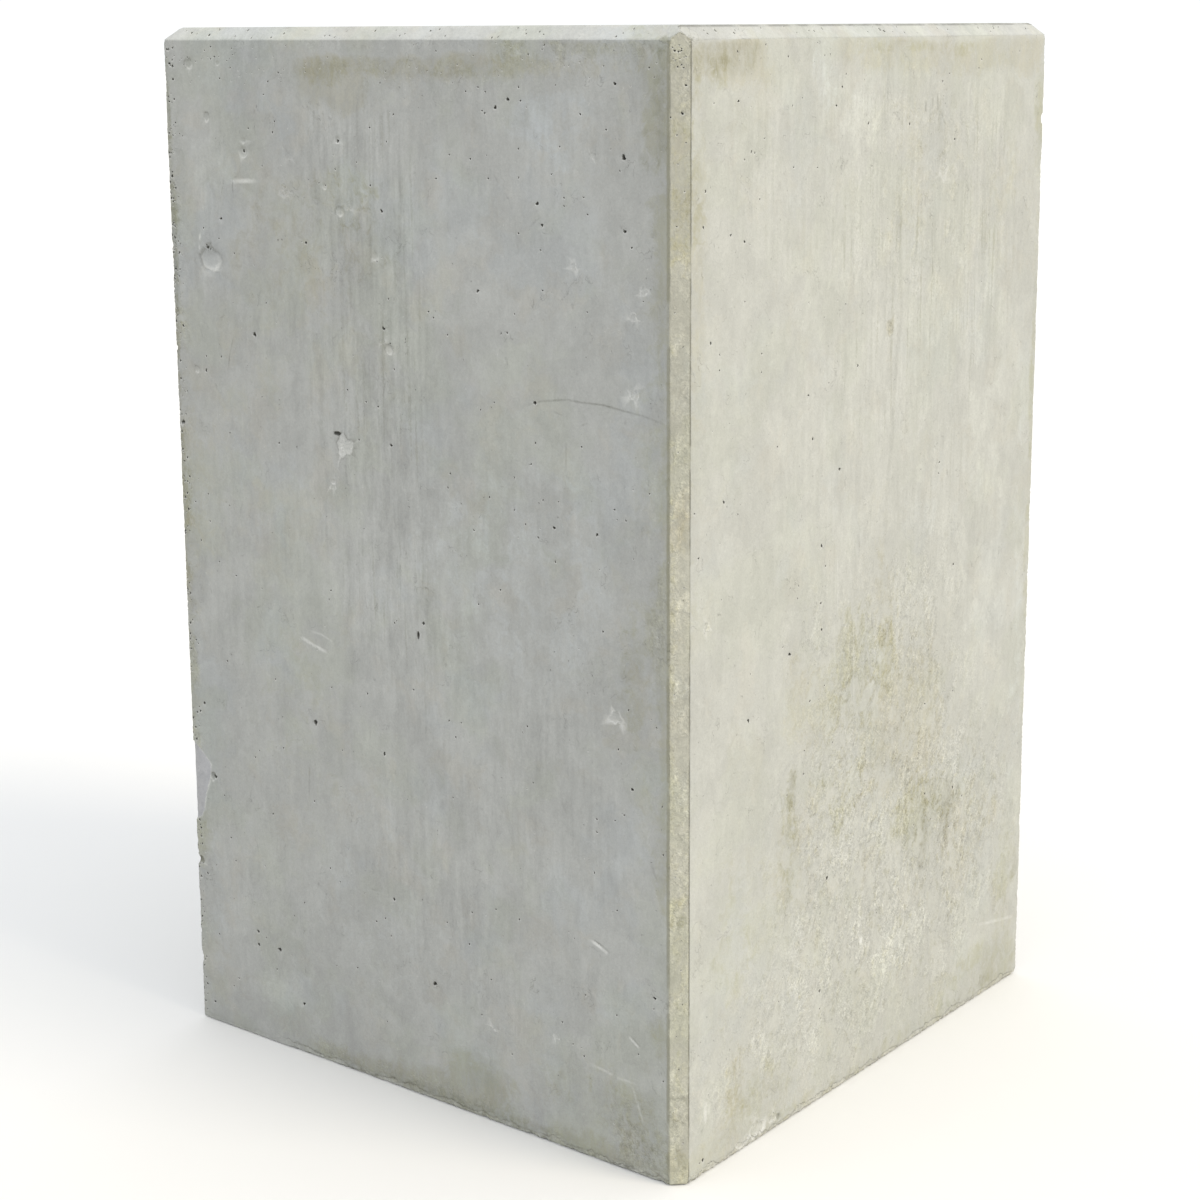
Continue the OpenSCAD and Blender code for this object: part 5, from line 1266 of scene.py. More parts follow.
def concrete():
    g = Graph("cast_concrete")
    P = g.obj()
    olive, brown, pale, dark = g.attr("stain_a")
    clean, rough, streak, hollow_shade = g.attr("stains_and_hollow_shade")
    light, dim, wear, chip = g.attr("mark_and_painted_light")
    front, right, strip, up = g.attr("side")

    def centred(v, k=1.0):
        return g.m("MULTIPLY", g.m("SUBTRACT", v, 0.5), k)

    def add(*a):
        out = a[0]
        for v in a[1:]:
            out = g.m("ADD", out, v)
        return out

    wob = g.scale(g.vadd(g.noise(P, 34, 3, 0.62, color=True), (-0.5, -0.5, -0.5)), (0.030, 0.030, 0.046))
    W = g.vadd(P, wob)
    wob2 = g.scale(g.vadd(g.noise(P, 240, 2, 0.6, color=True), (-0.5, -0.5, -0.5)), (0.004, 0.004, 0.006))
    F = g.vadd(P, wob2)
    broad = g.noise(P, 4.2, 2, 0.55, 0.3)                            # cloudy tone of the cast face
    skin_a = g.noise(W, 13, 6, 0.66)                                 # patches of cement skin, with crisp borders
    skin_b = g.noise(g.scale(W, (1, 1, 0.62)), 36, 5, 0.68)
    skin_c = g.noise(g.scale(F, (1, 1, 0.55)), 120, 4, 0.72)
    smear_a = g.noise(g.scale(F, (58, 58, 8.5)), 1.0, 5, 0.66)       # short upright smears
    smear_b = g.noise(g.scale(F, (190, 190, 30)), 1.0, 4, 0.7)
    line = g.noise(g.scale(P, (105, 105, 1.5)), 1.0, 3, 0.6)         # long faint lines of run-off
    grain = g.noise(P, 520, 3, 0.78)
    sand = g.noise(P, 1300, 2, 0.7)
    blot = g.noise(W, 75, 5, 0.74)

    fleck = g.ramp(add(g.m("MULTIPLY", skin_c, 0.45), g.m("MULTIPLY", smear_b, 0.35), g.m("MULTIPLY", grain, 0.20)), 0.40, 0.58, 0.55, 1.12)

    def stain(s, crisp=1.0):
        """a broad strength broken up by noise, so that its edge wanders at every scale"""
        v = add(s, g.m("MULTIPLY", centred(skin_a, 1.5 * crisp), g.ramp(s, 0.0, 0.25)),
                g.m("MULTIPLY", centred(blot, 1.9 * crisp), g.ramp(s, 0.0, 0.25)),
                g.m("MULTIPLY", centred(skin_b, 1.5 * crisp), g.ramp(s, 0.0, 0.25)))
        v = g.m("MULTIPLY", g.ramp(v, 0.12, 0.86), g.ramp(s, 0.0, 0.3))
        return g.m("MULTIPLY", v, fleck)

    # base colour by face: the front's darker cool grey is painted shade; the right face's paler warm cream and the pale
    # top and chamfers are painted light from the key sun; rear and left mix the first two
    col = g.mix(right, (0.364, 0.370, 0.355), (0.466, 0.469, 0.432))
    col = g.mix(strip, col, (0.436, 0.430, 0.366))
    col = g.mix(up, col, (0.545, 0.555, 0.535))

    some = g.ramp(g.noise(P, 7, 3, 0.6), 0.42, 0.62)                 # where the smears show
    st = g.m("MINIMUM", add(g.m("MULTIPLY", some, 0.45), streak, 0.12), 1.15)
    st = g.m("MULTIPLY", st, g.ramp(right, 0, 1, 1.0, 0.62))
    calm = g.ramp(right, 0, 1, 0.75, 0.45)
    tone = add(centred(g.ramp(broad, 0.28, 0.72), 0.050),
               centred(g.ramp(skin_a, 0.44, 0.56), 0.050), centred(g.ramp(skin_a, 0.3, 0.7), 0.05),
               centred(g.ramp(skin_b, 0.40, 0.60), 0.055),
               centred(g.ramp(skin_c, 0.36, 0.64), 0.050),
               g.m("MULTIPLY", centred(g.ramp(smear_a, 0.38, 0.62), 0.085), st),
               g.m("MULTIPLY", centred(g.ramp(smear_b, 0.36, 0.64), 0.095), st),
               g.m("MULTIPLY", centred(g.ramp(line, 0.30, 0.70), 0.050), st),
               centred(g.ramp(grain, 0.28, 0.72), 0.095), centred(g.ramp(sand, 0.25, 0.75), 0.075))
    tone = add(g.m("MULTIPLY", tone, g.ramp(right, 0, 1, 1.0, 0.82)),
               g.m("MULTIPLY", centred(g.ramp(blot, 0.40, 0.60), 0.13), strip), g.m("MULTIPLY", centred(g.ramp(skin_b, 0.44, 0.56), 0.07), strip))
    gain = g.m("ADD", 1.0, tone)
    gc = g.node("ShaderNodeCombineColor")
    for i in range(3):
        g.plug(gc.inputs[i], gain)
    col = g.mix(1.0, col, gc.outputs[0], "MULTIPLY")
    # slow changes of hue: greenish, pinkish and bluish clouds
    hue = g.noise(g.vadd(W, (5.1, 2.7, 9.3)), 11, 5, 0.62)
    hue2 = g.noise(g.vadd(W, (3.1, 1.7, 5.3)), 24, 4, 0.64)
    hue3 = g.noise(g.vadd(W, (7.7, 4.4, 1.9)), 9, 4, 0.62)
    col = g.mix(g.ramp(hue, 0.46, 0.62, 0, calm), col, g.mix(1.0, col, (0.985, 1.0, 0.945), "MULTIPLY"))
    col = g.mix(g.ramp(hue2, 0.52, 0.66, 0, calm), col, g.mix(1.0, col, (1.01, 0.985, 0.950), "MULTIPLY"))
    col = g.mix(g.ramp(hue3, 0.52, 0.64, 0, calm), col, g.mix(1.0, col, (0.985, 1.005, 1.040), "MULTIPLY"))

    # placed stains
    s_brown, s_olive, s_dark = stain(brown), stain(olive), stain(dark, 0.7)
    s_pale, s_clean = stain(pale, 0.8), stain(clean, 0.8)
    patchy = g.ramp(add(g.m("MULTIPLY", skin_b, 0.55), g.m("MULTIPLY", blot, 0.30), g.m("MULTIPLY", skin_a, 0.15)), 0.42, 0.575, 0.10, 1.25)
    s_rough = g.m("MULTIPLY", rough, patchy)
    col = g.mix(g.m("MULTIPLY", s_brown, 0.62), col, g.mix(1.0, col, (0.880, 0.846, 0.745), "MULTIPLY"))
    col = g.mix(g.m("MULTIPLY", s_olive, 0.70), col, g.mix(1.0, col, (0.79, 0.775, 0.64), "MULTIPLY"))
    col = g.mix(g.m("MULTIPLY", s_dark, 0.66), col, g.mix(1.0, col, g.mix(right, (0.66, 0.665, 0.62), (0.66, 0.648, 0.575)), "MULTIPLY"))
    col = g.mix(g.m("MULTIPLY", s_pale, 0.55), col, g.mix(1.0, col, (1.14, 1.15, 1.14), "MULTIPLY"))
    col = g.mix(g.m("MULTIPLY", s_clean, 0.60), col, g.mix(1.0, col, (1.02, 1.06, 1.12), "MULTIPLY"))

    # rough skin: short ticks leaning a little, dark where dirt lodges and light on the crests
    tk = g.vadd(g.scale(F, (1, 1, 1)), g.scale(P, (0, 0, 0)))
    lean = g.node("ShaderNodeVectorRotate", rotation_type="EULER_XYZ")
    g.plug(lean.inputs["Vector"], tk)
    lean.inputs["Rotation"].default_value = (0.68, 0.30, 0)
    lv = g.scale(lean.outputs[0], (185, 185, 80))
    ticks = g.noise(lv, 1.0, 3, 0.68)
    ticks2 = g.noise(g.vadd(lv, (0.34, 0.34, 0.20)), 1.0, 3, 0.68)
    crumb = g.noise(F, 470, 2, 0.66)
    crumb2 = g.noise(g.vadd(F, (0.0004, 0.0004, 0.0009)), 470, 2, 0.66)
    r_on = add(s_rough, g.m("MULTIPLY", g.ramp(skin_b, 0.5, 0.7), 0.12), g.m("MULTIPLY", g.m("MULTIPLY", streak, right), g.m("MULTIPLY", patchy, 0.16)))
    col = g.mix(g.m("MULTIPLY", r_on, g.ramp(ticks, 0.55, 0.66, 0, 0.80), clamp=True), col, g.mix(1.0, col, (0.79, 0.775, 0.71), "MULTIPLY"))
    col = g.mix(g.m("MULTIPLY", r_on, g.ramp(ticks, 0.46, 0.36, 0, 0.90), clamp=True), col, g.mix(1.0, col, (1.09, 1.085, 1.06), "MULTIPLY"))
    # dirt held in patches of the rough skin, and thin runs of dirt and lime down the streaked parts
    held = g.m("MULTIPLY", rough, g.ramp(skin_c, 0.50, 0.62, 0, 0.62))
    held = g.m("MULTIPLY", held, g.ramp(blot, 0.44, 0.60, 0.15, 1.0))
    col = g.mix(g.m("MULTIPLY", held, right), col, g.mix(1.0, col, (0.80, 0.785, 0.69), "MULTIPLY"))
    col = g.mix(g.m("MULTIPLY", g.m("MULTIPLY", rough, right), g.ramp(skin_b, 0.50, 0.38, 0, 0.75)), col, g.mix(1.0, col, (1.075, 1.072, 1.06), "MULTIPLY"))
    run = g.noise(g.scale(F, (250, 250, 8)), 1.0, 3, 0.62)
    run_on = g.m("MULTIPLY", g.ramp(streak, 0.20, 0.85), g.ramp(skin_a, 0.45, 0.55, 0.25, 1.0))
    col = g.mix(g.m("MULTIPLY", run_on, g.ramp(run, 0.55, 0.66, 0, 0.90)), col, g.mix(1.0, col, (0.835, 0.835, 0.80), "MULTIPLY"))
    col = g.mix(g.m("MULTIPLY", run_on, g.ramp(run, 0.44, 0.34, 0, 0.8)), col, g.mix(1.0, col, (1.055, 1.055, 1.06), "MULTIPLY"))
    # the lit and the shaded side of each small ridge
    ridge = add(g.m("MULTIPLY", g.m("SUBTRACT", ticks, ticks2), 0.95), g.m("MULTIPLY", g.m("SUBTRACT", crumb, crumb2), 0.8))
    ridge = g.m("MULTIPLY", ridge, add(r_on, 0.05))
    rc = g.node("ShaderNodeCombineColor")
    rg = g.m("ADD", 1.0, g.m("MULTIPLY", ridge, 1.0))
    for i in range(3):
        g.plug(rc.inputs[i], rg)
    col = g.mix(1.0, col, rc.outputs[0], "MULTIPLY")
    col = g.mix(g.m("MULTIPLY", r_on, g.ramp(crumb, 0.64, 0.74, 0, 0.32), clamp=True), col, (0.24, 0.235, 0.19))
    # a fine joint line down each side of the upright corner strip
    xyz = g.node("ShaderNodeSeparateXYZ")
    g.plug(xyz.inputs[0], P)
    across = g.m("MULTIPLY", g.m("ADD", xyz.outputs[0], xyz.outputs[1]), 0.70711)
    across = g.m("ADD", across, centred(skin_c, 0.0009))
    upright = g.m("SUBTRACT", 1.0, up, clamp=True)
    gap = g.ramp(g.noise(g.scale(P, (60, 60, 34)), 1.0, 3, 0.6), 0.34, 0.52, 0.35, 1.0)
    seam_r = g.m("MULTIPLY", g.ramp(g.m("ABSOLUTE", g.m("SUBTRACT", across, 0.0088)), 0.00075, 0.00030, 0, 1), g.m("MULTIPLY", gap, upright))
    seam_l = g.m("MULTIPLY", g.ramp(g.m("ABSOLUTE", g.m("ADD", across, 0.0093)), 0.0018, 0.0005, 0, 1), g.m("MULTIPLY", gap, upright))
    col = g.mix(g.m("MULTIPLY", seam_r, 0.66), col, (0.17, 0.165, 0.13))
    col = g.mix(g.m("MULTIPLY", seam_l, 0.62), col, (0.205, 0.20, 0.14))
    # the casting's open side: a wavy broken lip a few millimetres above the ground, paler and rough below it
    wave = add(0.0052, centred(g.noise(g.scale(F, (1, 1, 0.3)), 38, 5, 0.66), 0.026))
    above = g.m("SUBTRACT", xyz.outputs[2], wave)
    ledge = g.m("MULTIPLY", upright, g.m("MULTIPLY", g.m("SUBTRACT", 1.0, strip, clamp=True), g.ramp(xyz.outputs[0], -0.20, -0.15, 0.25, 1.0)))
    below = g.m("MULTIPLY", g.ramp(above, 0.0004, -0.0004), ledge)
    lip = g.m("MULTIPLY", g.m("MULTIPLY", g.ramp(g.m("ABSOLUTE", above), 0.0014, 0.0003, 0, 1), ledge), g.ramp(blot, 0.36, 0.56, 0.25, 1.0))
    col = g.mix(g.m("MULTIPLY", below, g.ramp(crumb, 0.40, 0.62, 0.75, 0.1)), col, g.mix(1.0, col, (1.17, 1.16, 1.13), "MULTIPLY"))
    col = g.mix(g.m("MULTIPLY", below, g.ramp(crumb, 0.56, 0.68, 0.0, 0.5)), col, (0.23, 0.225, 0.185))
    col = g.mix(g.m("MULTIPLY", lip, g.ramp(right, 0, 1, 0.5, 0.18)), col, (0.20, 0.195, 0.155))
    # the thin grimy line where the right-hand chamfer meets the top
    crest = g.m("MULTIPLY", g.m("MULTIPLY", g.ramp(xyz.outputs[0], 0.2924, 0.2932), g.ramp(xyz.outputs[2], 0.9972, 0.9984)), up)
    crest = g.m("MULTIPLY", crest, g.ramp(g.noise(P, 24, 4, 0.65), 0.40, 0.56, 0.15, 0.75))
    col = g.mix(crest, col, (0.19, 0.19, 0.18))
    # hair marks and small scuffs, in clusters
    hair_n = g.noise(g.scale(W, (1, 1, 0.5)), 60, 3, 0.5)
    hair = g.m("MULTIPLY", g.ramp(g.m("ABSOLUTE", centred(hair_n)), 0.0035, 0.0010), g.ramp(g.noise(P, 30, 3, 0.6), 0.56, 0.64))
    col = g.mix(g.m("MULTIPLY", hair, 0.30), col, (0.17, 0.17, 0.14))

    # pinholes too small to model, crowded in some places; their near-black colour is painted shade
    d1, c1 = g.voronoi(F, 190)
    sz = g.node("ShaderNodeSeparateColor")
    g.plug(sz.inputs[0], c1)
    crowd = g.ramp(g.noise(P, 16, 3, 0.6), 0.40, 0.68, 0.955, 0.86)
    here = g.m("SUBTRACT", sz.outputs[0], crowd)
    rad = g.ramp(here, 0.0, 0.12, 0.05, 0.13, False)
    pin = g.m("MULTIPLY", g.ramp(g.m("SUBTRACT", d1, rad), -0.03, 0.02, 1, 0), g.ramp(here, 0.0, 0.004))
    pin = g.m("MULTIPLY", pin, g.ramp(right, 0, 1, 1.0, 0.5))
    col = g.mix(g.m("MULTIPLY", pin, 0.62), col, (0.10, 0.10, 0.085))
    # light grains of sand
    d2, c2 = g.voronoi(F, 260)
    sc = g.node("ShaderNodeSeparateColor")
    g.plug(sc.inputs[0], c2)
    spk = g.m("MULTIPLY", g.ramp(d2, 0.08, 0.26, 1, 0), g.ramp(g.m("ADD", sc.outputs[1], centred(skin_b, 0.2)), 0.955, 0.99, 0, 0.35))
    col = g.mix(spk, col, (0.60, 0.60, 0.56))

    # hollows are darkened as painted shade; scratches and flakes are lighter or darker than the skin, and these two
    # channels also carry painted highlights and painted shade round holes, dishes, rings and the chip
    hollow_shade_colour = g.mix(g.ramp(hollow_shade, 0.5, 1.0), (0.17, 0.17, 0.145), (0.045, 0.045, 0.04))
    col = g.mix(g.ramp(hollow_shade, 0.3, 0.62), col, hollow_shade_colour)
    col = g.mix(g.m("MULTIPLY", light, g.ramp(grain, 0.3, 0.6, 0.75, 1.1), clamp=True), col, (0.68, 0.685, 0.66))
    col = g.mix(g.m("MULTIPLY", dim, g.ramp(grain, 0.3, 0.6, 1.1, 0.75), clamp=True), col, (0.13, 0.13, 0.105))
    broken = g.ramp(wear, 0.15, 0.8)
    col = g.mix(g.m("MULTIPLY", broken, g.ramp(blot, 0.42, 0.58, 0.10, 0.62)), col, g.mix(1.0, col, (0.70, 0.69, 0.60), "MULTIPLY"))
    col = g.mix(g.m("MULTIPLY", chip, 0.85), col, g.mix(g.ramp(blot, 0.35, 0.65), (0.355, 0.358, 0.375), (0.43, 0.432, 0.448)))

    rgh = add(0.80, centred(g.ramp(skin_b, 0.3, 0.7), 0.10), centred(g.ramp(grain, 0.3, 0.7), 0.08))
    rgh = g.m("SUBTRACT", rgh, g.m("MULTIPLY", s_clean, 0.10))
    height = add(g.m("MULTIPLY", grain, 0.42), g.m("MULTIPLY", sand, 0.16), g.m("MULTIPLY", g.ramp(skin_c, 0.36, 0.64), 0.22),
                 g.m("MULTIPLY", smear_b, g.m("MULTIPLY", st, 0.35)),
                 g.m("MULTIPLY", g.m("MULTIPLY", ticks, r_on), 1.15),
                 g.m("MULTIPLY", g.m("MULTIPLY", crumb, r_on), 0.5),
                 g.m("MULTIPLY", g.m("MULTIPLY", blot, g.ramp(wear, 0.1, 0.6)), 1.6))
    height = g.m("SUBTRACT", height, add(g.m("MULTIPLY", pin, 1.6), g.m("MULTIPLY", hair, 0.6), g.m("MULTIPLY", seam_r, 1.2), seam_l, g.m("MULTIPLY", below, 1.0), g.m("MULTIPLY", below, g.m("MULTIPLY", crumb, 1.2))))
    nrm = g.bump(height, 0.75, 0.0008)
    nrm = g.bump(add(g.ramp(skin_b, 0.42, 0.58), g.m("MULTIPLY", skin_a, 1.2)), 0.30, 0.0008, nrm)
    g.set(Base_Color=col, Roughness=rgh, Normal=nrm, Specular_IOR_Level=0.28)
    return g.mat


def steel(name, base, rust, amount, rib=0.0):
    g = Graph(name)
    P = g.obj()
    a = g.noise(P, 70, 5, 0.65, 0.4)
    b = g.noise(P, 420, 4, 0.7)
    f = g.ramp(g.m("ADD", a, g.m("MULTIPLY", g.m("SUBTRACT", b, 0.5), 0.45)), 0.62 - 0.32 * amount, 0.72 - 0.2 * amount)
    col = g.mix(f, g.mix(b, base, tuple(c * 0.7 for c in base)), g.mix(g.ramp(b, 0.3, 0.7), rust, tuple(c * 0.55 for c in rust)))
    g.set(Base_Color=col, Metallic=g.ramp(f, 0, 1, 0.85, 0.1), Roughness=g.ramp(f, 0, 1, 0.42, 0.86),
          Normal=g.bump(g.m("ADD", b, g.m("MULTIPLY", f, 0.8)), 0.5, 0.0004))
    return g.mat


def plastic(name, base, dusty=0.5, scale=1.0):
    g = Graph(name)
    P = g.obj()
    fine = g.noise(P, 2600 * scale, 2, 0.5)
    mott = g.noise(P, 60, 4, 0.6)
    dust = g.m("ADD", g.m("MULTIPLY", g.noise(P, 42, 5, 0.6, 0.3), 0.7), g.m("MULTIPLY", g.noise(P, 480, 3, 0.7), 0.3))
    geo = g.node("ShaderNodeNewGeometry")
    sep = g.node("ShaderNodeSeparateXYZ")
    g.plug(sep.inputs[0], geo.outputs["Normal"])
    upw = g.ramp(sep.outputs[2], 0.3, 0.95)
    d = g.m("MULTIPLY", g.m("MULTIPLY", g.ramp(dust, 0.40, 0.66, 0.10, 0.62), upw), dusty)
    d = g.m("ADD", d, g.m("MULTIPLY", g.ramp(mott, 0.5, 0.7), 0.12 * dusty))
    col = g.mix(g.ramp(mott, 0.3, 0.7), base, tuple(c * 1.22 for c in base))
    col = g.mix(d, col, (0.42, 0.41, 0.36))
    g.set(Base_Color=col, Roughness=g.m("ADD", 0.48, g.m("MULTIPLY", d, 0.4)), Specular_IOR_Level=0.45,
          Normal=g.bump(g.m("ADD", fine, g.m("MULTIPLY", dust, 0.6)), 0.22, 0.0003))
    return g.mat


def foam():
    g = Graph("seal_foam")
    P = g.obj()
    d, c = g.voronoi(P, 1500)
    n = g.noise(P, 300, 4, 0.6)
    col = g.mix(g.ramp(d, 0.1, 0.5), (0.012, 0.012, 0.012), (0.05, 0.05, 0.052))
    col = g.mix(g.ramp(n, 0.55, 0.75, 0, 0.5), col, (0.22, 0.21, 0.19))
    g.set(Base_Color=col, Roughness=0.92, Normal=g.bump(d, 0.6, 0.0004), Specular_IOR_Level=0.2)
    return g.mat


# ---------------------------------------------------------------- lift-out caps
def arc(cx, cz, r, t0, t1, n):
    return [(cx + r * math.cos(math.radians(t0 + (t1 - t0) * i / n)), cz + r * math.sin(math.radians(t0 + (t1 - t0) * i / n))) for i in range(n + 1)]


def cap_profile(z0, z1, rim, skirt, skirt_z, cup_in, cup_out, cup_z):
    """the moulded section from the middle of the cup's floor, round and back, in mm"""
    top = z1 - 0.28
    p = [(0.0, cup_z + 1.8), (6.0, cup_z + 1.8)]
    p += arc(cup_in - 1.4, cup_z + 3.2, 1.4, -90, 0, 5)                     # fillet at the cup's floor
    p += [(cup_in, z1 - 5), (cup_in, z1 - 1.6)]
    p += arc(cup_in + 1.2, z1 - 1.2, 1.2, 180, 90, 5)                       # rounded mouth
    p += [(cup_in + 2.4, z1), (cup_in + 3.0, z1 - 0.05), (cup_in + 3.4, top)]
    for r in (20.6, 21.0, 21.35):
        p += [(r, top)]
    for r in (24.0, 28.0, 32.0):                                            # three raised grip rings
        p += [(r - 0.85, top), (r - 0.55, top + 0.16), (r - 0.2, z1), (r + 0.2, z1), (r + 0.55, top + 0.16), (r + 0.85, top)]
    p += [(34.65, top), (35.0, top), (35.4, top), (36.6, top), (36.9, top - 0.5), (37.6, top - 0.62), (38.3, top - 0.5), (38.6, z1 - 0.1)]
    p += [(39.0, z1)] + arc(rim - 0.9, z1 - 0.9, 0.9, 90, 0, 6)
    p += [(rim, z0 + 0.7)] + arc(rim - 0.5, z0 + 0.5, 0.5, 0, -90, 4) + [(skirt + 1.2, z0), (skirt + 0.3, z0 - 0.12)]
    p += [(skirt, z0 - 0.6), (skirt, skirt_z + 7), (skirt - 0.1, skirt_z + 0.5), (skirt - 0.5, skirt_z), (skirt - 1.9, skirt_z),
          (skirt - 2.3, skirt_z + 0.5), (skirt - 2.4, skirt_z + 7), (skirt - 2.4, z0 - 1.0), (skirt - 3.4, z0)]
    p += [(cup_out + 1.0, z0), (cup_out, z0 - 1.0)] + arc(cup_out - 1.2, cup_z + 1.2, 1.2, 0, -90, 4)
    p += [(6.0, cup_z), (0.0, cup_z)]
    return p, top


def make_cap(node):
    lo_, hi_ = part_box(node)
    lo_, hi_ = np.array(lo_) / MM, np.array(hi_) / MM
    cx, cy = (lo_[0] + hi_[0]) / 2, (lo_[1] + hi_[1]) / 2
    rim, z1 = (hi_[0] - lo_[0]) / 2, hi_[2]
    z0 = z1 - 3.5
    prof, top = cap_profile(z0, z1, rim, REC_R / MM - 2.5, lo_[2], 12.0, 14.0, z0 - 7.0)
    # columns: plain ones, and finer ones that keep the sides of the six grip slots and four skirt notches parallel
    cols = []
    for k in range(6):
        cols += [(30 + 60 * k, t) for t in (-1.5, -1.12, -0.88, 0.0, 0.88, 1.12, 1.5)]
    for k in range(4):
        cols += [(45 + 90 * k, t) for t in (-2.6, -2.08, -1.92, 0.0, 1.92, 2.08, 2.6)]
    for deg in np.arange(0, 360, 3.75):
        if min(abs((deg - a + 180) % 360 - 180) for a, t in cols if t == 0.0) > 9:
            cols.append((float(deg), 0.0))

    def turn(c, r):
        return math.radians(c[0]) + c[1] / max(r, 12.5)
    cols.sort(key=lambda c: turn(c, 28.0) % (2 * math.pi))
    kept = [cols[0]]
    for c in cols[1:]:
        if turn(c, 28.0) % (2 * math.pi) - turn(kept[-1], 28.0) % (2 * math.pi) > 0.0008:
            kept.append(c)
    pts, rows = [], []
    for i, (r, z) in enumerate(prof):
        if r < 1e-6:
            rows.append([len(pts)])
            pts.append((cx, cy, z))
            continue
        row = []
        for c in kept:
            zz = z
            grip = any(c[0] == 30 + 60 * k for k in range(6))
            notch = any(c[0] == 45 + 90 * k for k in range(4))
            if grip and abs(c[1]) < 1.0 and 20.9 < r < 35.1 and z > z1 - 0.5:
                zz = z1 - 0.95 if 21.2 < r < 34.8 else z1 - 0.6
            if notch and abs(c[1]) < 2.0 and skirt_low(r, z, REC_R / MM, lo_[2]):
                zz = lo_[2] + 6.5 + 0.35 * (z - lo_[2])
            a = turn(c, r)
            row.append(len(pts))
            pts.append((cx + r * math.cos(a), cy + r * math.sin(a), zz))
        rows.append(row)
    faces = []
    for a_, b_ in zip(rows, rows[1:]):
        n_ = max(len(a_), len(b_))
        for j in range(n_):
            k2 = (j + 1) % n_
            if len(a_) == 1:
                faces.append((a_[0], b_[j], b_[k2]))
            elif len(b_) == 1:
                faces.append((a_[j], b_[0], a_[k2]))
            else:
                faces.append((a_[j], b_[j], b_[k2], a_[k2]))
    # the bar across the cup, flared where it runs into the wall
    zc, m_ = z1 - 3.0, 24
    ys = [-12.6, -11.9, -11.2, -10.2, -6, 0, 6, 10.2, 11.2, 11.9, 12.6]
    rs = [2.75, 2.55, 2.2, 2.02, 1.95, 1.9, 1.95, 2.02, 2.2, 2.55, 2.75]
    base_ = len(pts)
    for y_, r_ in zip(ys, rs):
        for j in range(m_):
            t = 2 * math.pi * j / m_
            pts.append((cx + r_ * math.cos(t), cy + y_, zc + r_ * 0.95 * math.sin(t)))
    for i in range(len(ys) - 1):
        for j in range(m_):
            a_, b_ = base_ + i * m_ + j, base_ + i * m_ + (j + 1) % m_
            faces.append((a_, b_, b_ + m_, a_ + m_))
    faces.append(tuple(base_ + j for j in range(m_ - 1, -1, -1)))
    faces.append(tuple(base_ + (len(ys) - 1) * m_ + j for j in range(m_)))
    name = node.replace("recess_cap", "moulded_cap")
    me = bpy.data.meshes.new(name)
    me.from_pydata([tuple(v * MM for v in p) for p in pts], [], faces)
    me.validate()
    bm = bmesh.new()
    bm.from_mesh(me)
    bmesh.ops.recalc_face_normals(bm, faces=bm.faces)
    bm.to_mesh(me)
    bm.free()
    me.polygons.foreach_set("use_smooth", np.ones(len(me.polygons), bool))
    me.set_sharp_from_angle(angle=math.radians(32))
    ob = bpy.data.objects.new(name, me)
    scene.collection.objects.link(ob)
    return ob


def skirt_low(r, z, rec, low):
    return rec - 6 < r < rec - 2 and z < low + 7.2


# ---------------------------------------------------------------- the pieces
block = make_block()
block.data.materials.append(concrete())
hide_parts("concrete_body")
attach(block, "block")

FINISH = {
    "bar": steel("bar_mill_scale", (0.16, 0.165, 0.17), (0.30, 0.12, 0.045), 0.75),
    "link": steel("link_drawn_wire", (0.26, 0.265, 0.27), (0.33, 0.14, 0.055), 0.45),
    "anchor": steel("anchor_galvanised", (0.55, 0.56, 0.57), (0.40, 0.39, 0.36), 0.25),
    "wire": steel("annealed_wire", (0.07, 0.068, 0.066), (0.24, 0.11, 0.05), 0.3),
    "cap": plastic("cap_moulded_plastic", (0.055, 0.057, 0.060), 0.75),
    "spacer": plastic("spacer_recycled_plastic", (0.34, 0.335, 0.30), 0.3, 0.6),
    "seal": foam(),
}


for side in ("left", "right"):
    piece = make_cap("recess_cap_" + side)
    piece.data.materials.append(FINISH["cap"])
    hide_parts("recess_cap_" + side)
    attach(piece, "cap_" + side)


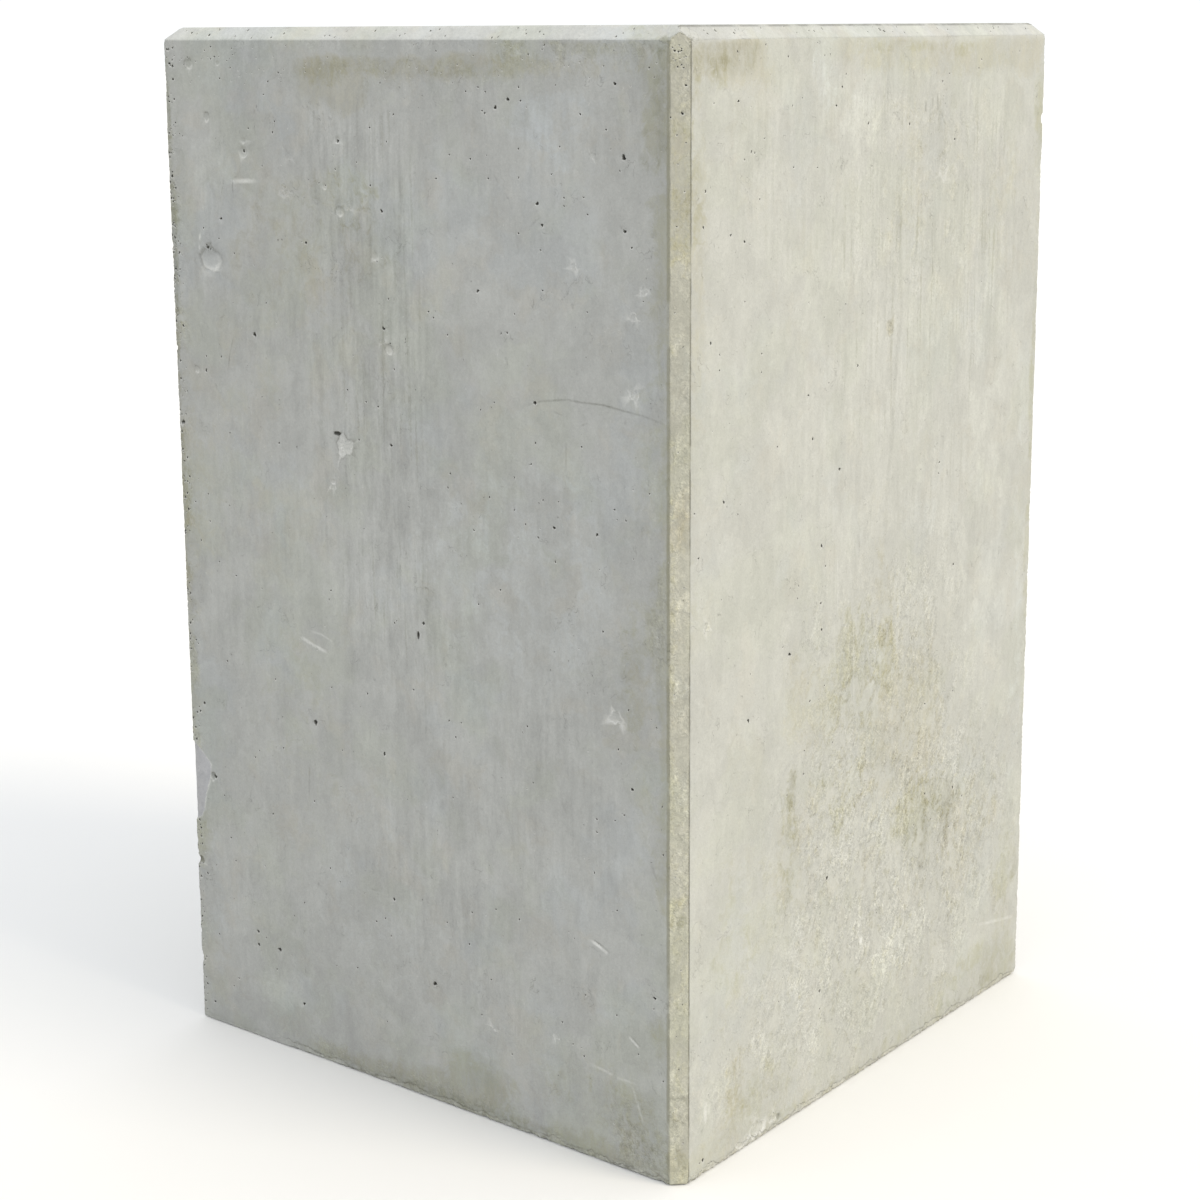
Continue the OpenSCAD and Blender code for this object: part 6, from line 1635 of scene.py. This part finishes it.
def finish_for(node):
    if node.startswith(("corner_bar", "side_bar", "top_hairpin", "base_hairpin")):
        return FINISH["bar"]
    if node.startswith("link_"):
        return FINISH["link"]
    if node.startswith("lifting_anchor"):
        return FINISH["anchor"]
    if node.startswith("tie_wires"):
        return FINISH["wire"]
    if node.startswith("recess_cap"):
        return FINISH["cap"]
    if node.startswith("cap_seal"):
        return FINISH["seal"]
    return FINISH["spacer"]


for node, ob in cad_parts.items():
    if node != "concrete_body":
        mat = finish_for(node)
        if not ob.material_slots:
            ob.data.materials.append(mat)
        for slot in ob.material_slots:
            slot.material = mat


# ---------------------------------------------------------------- floor and light
def floor():
    me = bpy.data.meshes.new("floor")
    n, r = 96, 60.0
    pts = [(0, 0, -0.0005)] + [(r * math.cos(i * 2 * math.pi / n), r * math.sin(i * 2 * math.pi / n), -0.0005) for i in range(n)]
    me.from_pydata(pts, [], [(0, i + 1, (i + 1) % n + 1) for i in range(n)])
    ob = bpy.data.objects.new("floor", me)
    scene.collection.objects.link(ob)
    g = Graph("floor_pale")
    n1 = g.noise(g.obj(), 3, 3, 0.5)
    g.set(Base_Color=g.mix(n1, (0.87, 0.87, 0.868), (0.89, 0.89, 0.888)), Roughness=0.9, Specular_IOR_Level=0.1)
    me.materials.append(g.mat)


floor()
world = bpy.data.worlds.new("studio")
scene.world = world
world.use_nodes = True
bg = world.node_tree.nodes["Background"]
bg.inputs[0].default_value = (0.985, 1.0, 1.015, 1)
bg.inputs[1].default_value = 1.05


def sun(name, azimuth, elevation, strength, colour, spread):
    data = bpy.data.lights.new(name, "SUN")
    data.energy, data.color, data.angle = strength, colour, math.radians(spread)
    ob = bpy.data.objects.new(name, data)
    a, e = math.radians(azimuth), math.radians(elevation)
    d = Vector((math.cos(a) * math.cos(e), math.sin(a) * math.cos(e), math.sin(e)))
    ob.rotation_euler = d.to_track_quat("Z", "Y").to_euler()
    scene.collection.objects.link(ob)


sun("key", 10, 38, 1.35, (1.0, 0.88, 0.68), 28)
scene.view_settings.view_transform = "Standard"
scene.view_settings.look = "None"
